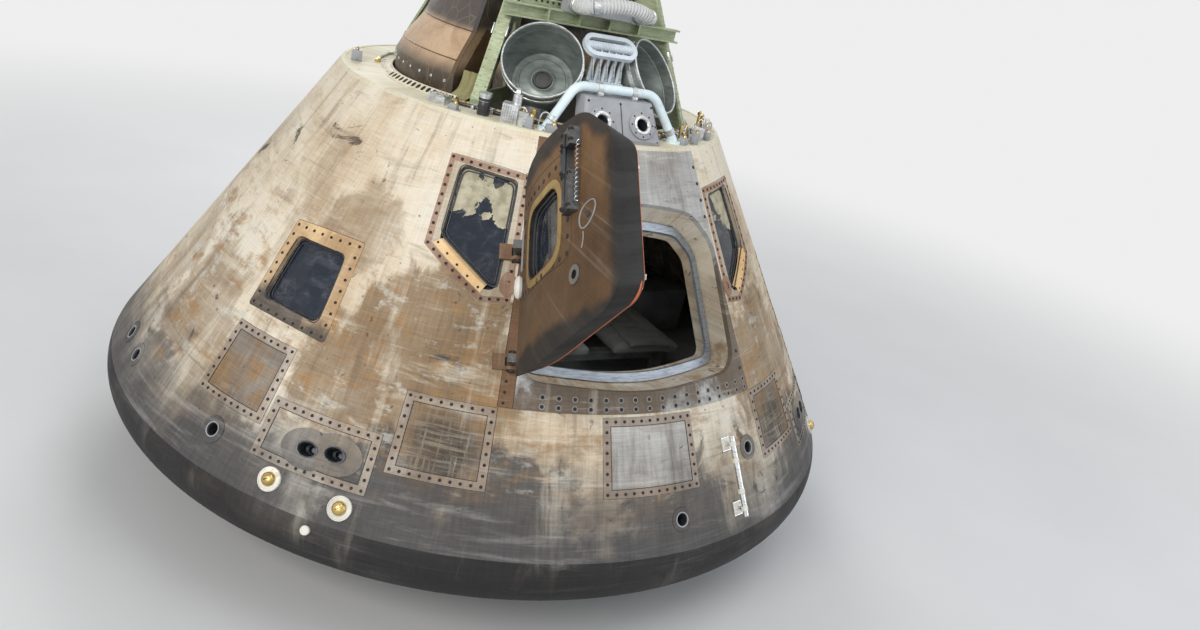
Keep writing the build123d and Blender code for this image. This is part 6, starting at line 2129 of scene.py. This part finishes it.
@dataclass
class Couches(Trim):
    """Padded crew couches: back, seat and leg cushions with sewn channels, and their straps."""

    places: Sequence[float] = (-0.57, 0.0, 0.57)
    wide: float = 0.46
    thick: float = 0.066
    seam: float = 0.024
    voxel: float = 0.013
    swell_cap: float = 0.012

    def cushion(self, long: float, channels: int, taper: float = 0.0) -> Piece:
        """One cushion, its top upwards and its middle at the origin.

        Args:
            long: length of the cushion.
            channels: sewn channels across it.
            taper: how much narrower its upper end is.

        Returns:
            The stuffed cushion.
        """
        wide, thick = self.wide - self.seam, self.thick - 0.018
        shape = Shape(Start.CUBE, size=1, scale=(wide, long - self.seam, thick))
        shape.edges(lambda a, b: True).bevel(0.016, 3)
        piece = shape.done()
        modify(piece, "REMESH", mode="VOXEL", voxel_size=self.voxel)
        self.swell(piece)
        shape = self.reopened(piece)

        def rule(co: Vector) -> Vector:
            """Crowns the top, draws the sides in and sinks the channels."""
            u, v = co.x / (wide / 2), co.y / (long / 2)
            top = max(0.0, co.z) / (thick / 2)
            crown = 0.004 * (1 - min(1, u * u)) * (1 - min(1, v * v))
            phase = (v + 1) / 2 * channels
            sunk = math.exp(-((phase - round(phase)) * long / channels / 0.008) ** 2)
            sunk *= 1.0 if 0 < round(phase) < channels else 0.0
            drawn = 1 - 0.012 * (1 - abs(v)) - taper * (v + 1) / 2
            return Vector((co.x * drawn, co.y * (1 - 0.008 * (1 - abs(u))),
                co.z + top * (crown - 0.012 * sunk)))

        piece = shape.move(rule).done()
        return modify(piece, "SUBSURF", levels=1)

    def reopened(self, piece: Piece) -> Shape:
        """Opens a finished mesh in edit mode again."""
        shape = Shape.__new__(Shape)
        shape.piece = piece
        activate(piece)
        bpy.ops.object.mode_set(mode="EDIT")
        return shape

    def swell(self, piece: Piece) -> None:
        """Stuffs a closed cloth shell by pressure, no point moving past the cap."""
        before = [vertex.co.copy() for vertex in piece.data.vertices]
        activate(piece)
        cloth = piece.modifiers.new("cloth", "CLOTH")
        cloth.settings.use_pressure = True
        cloth.settings.uniform_pressure_force = 4.0
        cloth.settings.effector_weights.gravity = 0.0
        cloth.settings.quality = 4
        for step in range(1, 16):
            bpy.context.scene.frame_set(step)
        bpy.ops.object.modifier_apply(modifier=cloth.name)
        bpy.context.scene.frame_set(1)
        for vertex, start in zip(piece.data.vertices, before):
            moved = vertex.co - start
            if moved.length > self.swell_cap:
                vertex.co = start + moved.normalized() * self.swell_cap

    def pad(self, name: str, long: float, channels: int, place: Matrix,
            taper: float = 0.0) -> list[Piece]:
        """One kind of cushion on all three couches, each its own piece."""
        model = self.cushion(long, channels, taper)
        made = []
        for number, x in enumerate(self.places, 1):
            twin = model.copy()
            twin.data = model.data.copy()
            twin.data.transform(at(x, 0, 0) @ place)
            bpy.context.collection.objects.link(twin)
            self.put(twin, f"{name}_{number}", "couch_cloth")
            made.append(twin)
        bpy.data.objects.remove(model)
        return made

    def strap(self, points: Sequence[Point], wide: float) -> Piece:
        """Flat webbing strap along a smooth line, its width along x."""
        line = run(points)
        shape = Shape(Start.GRID, x_subdivisions=2, y_subdivisions=len(line) - 1, size=1)

        def rule(co: Vector) -> Vector:
            """Lays one vertex on the strap."""
            spot = line[round((co.y + 0.5) * (len(line) - 1))]
            return spot + Vector((co.x * wide, 0, 0.0008 if abs(co.x) < 0.1 else 0))

        shape.move(rule)
        return modify(shape.done(), "SOLIDIFY", thickness=0.0022, offset=1.0)

    def build(self) -> None:
        """Makes the cushions, head rests, straps and buckles."""
        thigh = math.degrees(math.atan2(0.38, 0.12))
        calf = math.degrees(math.atan2(-0.1, 0.4))
        made = self.pad("couch_back", 0.76, 6, at(0, -0.395, 0.984))
        made += self.pad("couch_seat", 0.37, 3, at(0, 0.025, 1.155) @ turn(thigh, "X")
            @ at(0, 0, 0.03))
        made += self.pad("couch_calf", 0.39, 3, at(0, 0.312, 1.316) @ turn(calf, "X"))
        for piece in made:
            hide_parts("couches")
        self.pad("couch_head", 0.2, 2, at(0, -0.69, 1.022) @ Matrix.Diagonal((0.6, 1, 0.6, 1)))
        straps, buckles = [], []
        for x in self.places:
            for side in (-1, 1):
                s = x + side * 0.09
                straps.append(self.strap([(s, -0.72, 1.024), (s, -0.5, 1.028), (s, -0.3, 1.032),
                    (s, -0.12, 1.03), (s, -0.06, 1.04)], 0.042))
            straps.append(self.strap([(x, -0.16, 1.034), (x, -0.1, 1.04), (x, -0.05, 1.045)], 0.05))
            buckles.append(at(x, -0.13, 1.046))
        self.put(straps, "couch_straps", "strap_cloth")
        self.put(lathe(24, 30, -10, 30, 2, 26, 6, 12, 6, 10, 2, 0, 2), "couch_buckles",
            "bare_metal", buckles)


@dataclass
class Cabin(Trim):
    """Console switches and dials, lockers, pipes and wall panels inside the cabin."""

    console_foot: Triple = (0, -0.2, 1.64)
    console_head: Triple = (0, -0.56, 1.985)
    row_pitch: float = 0.066
    switch_pitch: float = 0.036
    wall_z: float = 1.28
    lining: float = -0.183

    def console(self) -> None:
        """Makes the panels, toggles, dials and lamps on the console's face."""
        put = self.put
        low, high = Vector(self.console_foot), Vector(self.console_head)
        up = (high - low).normalized()
        normal = Vector((0, -up.z, up.y))
        face = Matrix((Vector((1, 0, 0)), up, normal)).transposed().to_4x4()
        face = Matrix.Translation((low + high) / 2) @ face
        plates, toggles, dials, lamps = [], [], [], []
        for column, x in enumerate((-0.62, -0.41, -0.2, 0.01, 0.22, 0.43)):
            here = face @ at(x, 0, 0.004)
            shape = block((0.195, 0.42, 0.008), 0.002)
            plates.append(shape.done(here))
            for row in range(6):
                if (row + column) % 3 == 0:
                    dials += [here @ at(dx, -0.17 + row * self.row_pitch, 0.004)
                        for dx in (-0.05, 0.045)]
                    continue
                for index in range(5):
                    toggles.append(here @ at(-0.072 + index * self.switch_pitch,
                        -0.17 + row * self.row_pitch, 0.004))
            lamps += [here @ at(-0.07 + i * 0.02, 0.195, 0.005) for i in range(8)]
        put(plates, "console_panels", "cabin_grey")
        put(lathe(10, 8, 0, 8, 3, 4, 5, 2.5, 12, 3.5, 20, 0, 21.5), "console_toggles", "bare_metal",
            toggles)
        put(lathe(28, 27, 0, 27, 7, 23, 8, 22, 3.5, 0, 3.5), "console_dials", "black_fitting",
            dials)
        put(block((0.0018, 0.018, 0.0012), 0.0003), "console_needles", "disc_white",
            [d @ turn(37 * i, "Z") @ at(0, 0.006, 0.0045) for i, d in enumerate(dials)])
        put(block((0.014, 0.009, 0.004), 0.001), "console_lamps", "ring_cream", lamps)

    def lockers(self) -> None:
        """Makes the lockers and their pulls."""
        put = self.put
        boxes, pulls = [], []
        for x, y, z, wide, deep, high in ((-0.78, 0.62, 1.0, 0.4, 0.3, 0.52),
                (-0.36, 0.98, 1.05, 0.4, 0.26, 0.62), (0.06, 1.04, 1.05, 0.4, 0.26, 0.62),
                (0.48, 0.92, 1.0, 0.4, 0.26, 0.52), (0.86, 0.5, 0.93, 0.3, 0.34, 0.38),
                (-1.05, 0.1, 0.88, 0.22, 0.5, 0.28), (1.05, 0.05, 0.88, 0.22, 0.5, 0.28)):
            lean = turn(-math.degrees(math.atan2(x, y)), "Z")
            here = at(x, y, z) @ lean
            shape = block((wide, deep, high), 0.012)
            shape.facing(1, -1).inset(0.02).extrude((0, 0.006, 0)).inset(0.012)
            shape.extrude((0, -0.008, 0))
            boxes.append(shape.done(here))
            for level in (-0.28, 0.05, 0.34):
                pulls.append(here @ at(0, -deep / 2 - 0.006, level * high) @ turn(90, "Z"))
        put(boxes, "cabin_lockers", "cabin_grey")
        put(lathe(12, 6, -50, 9, -45, 6, -35, 6, 35, 9, 45, 6, 50), "locker_pulls", "bare_metal",
            [p @ turn(90, "X") for p in pulls])

    def walls(self) -> None:
        """Makes padded wall panels, pipes and ribs on the inner wall."""
        put = self.put
        panels, pipes = [], []
        for azimuth in (-150, -120, -90, 90, 120, 150, 180):
            here = CONE.matrix(azimuth, self.wall_z, self.lining)
            shape = block((0.5, 0.62, 0.02), 0.008)
            shape.facing(2, -1).inset(0.03).extrude((0, 0, 0.006))
            panels.append(shape.done(here))
        put(panels, "wall_panels", "wall_cloth")
        for z, radius in ((0.99, 0.012), (1.03, 0.008), (1.58, 0.01)):
            line = [CONE.point(a, z, -0.2) for a in range(40, 325, 12)]
            pipes.append(tube(line, radius, 2))
        put(pipes, "wall_pipes", "bare_metal")
        ribs = [CONE.matrix(a, self.wall_z, self.lining - 0.003)
            for a in (-165, -135, -105, -75, 75, 105, 135, 165)]
        put(block((0.03, 0.9, 0.03), 0.006), "wall_ribs", "cabin_grey", ribs)

    def build(self) -> None:
        """Makes everything inside."""
        self.console()
        self.lockers()
        self.walls()


@dataclass
class SealTrim(Trim):
    """Bead and screws round the doorway's seal frame."""

    plan: HatchPlan = field(default_factory=HatchPlan)
    bead_line: Pair = (-0.006, 0.116)
    screw_line: Pair = (-0.02, 0.1185)

    def spots(self, line: Pair) -> list[Vector]:
        """Points along the doorway, grown by a distance, at a depth below the skin."""
        plane, plan = self.plan.plane(), self.plan
        return [plane @ (p - Vector((0, 0, plan.sag(p.x, p.y)))) for p in plan.ring(*line)]

    def build(self) -> None:
        """Makes the rubber bead and the screws."""
        put = self.put
        put(tube(self.spots(self.bead_line), 0.004, 2, closed=True), "doorway_bead",
            "black_fitting")
        up = self.plan.plane().to_quaternion().to_matrix().to_4x4()
        around_it = stations(self.spots(self.screw_line), 0.075, closed=True)
        heads = [Matrix.Translation(m.translation) @ up for m in around_it]
        put(screw(0.0045, 0.0022, 10), "doorway_screws", "bolt", heads)


def main() -> None:
    """Builds the dressed capsule round its frame."""
    logging.basicConfig(level=logging.INFO, format="%(name)s: %(message)s")
    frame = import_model()
    Studio().build()
    paint = Paintbox()
    paint.dress_frame(frame)
    opening = Opening.of(frame)
    trim = WindowTrim(paint)
    trim.build()
    BoltRows(paint, trim).build(PANEL_OUTLINES)
    SkinPanels(paint).build(PANEL_OUTLINES)
    for part in (Ports(paint), Handhold(paint), SealTrim(paint), HatchFace(paint, opening),
            HatchBack(paint, opening), HingeTrim(paint), NoseDeck(paint), Cups(paint),
            TopBlock(paint), Framework(paint), RecoveryLoop(paint), VentHose(paint),
            BayCovers(paint), ClothFlap(paint), Couches(paint), Cabin(paint)):
        part.build()


PANEL_OUTLINES = [[(s * a0, z0), (s * a1, z0), (s * a1, z1), (s * a0, z1)] for a0, a1, z0,
    z1 in ((-67.5, -55.0, 0.86, 1.145), (-54.6, -38.2, 0.761, 0.975), (-36.9, -23.8, 0.855, 1.142),
    (-8.0, 8.0, 0.85, 1.136)) for s in ((1, -1) if a1 < 0 else (1,))]

if __name__ == "__main__":
    main()
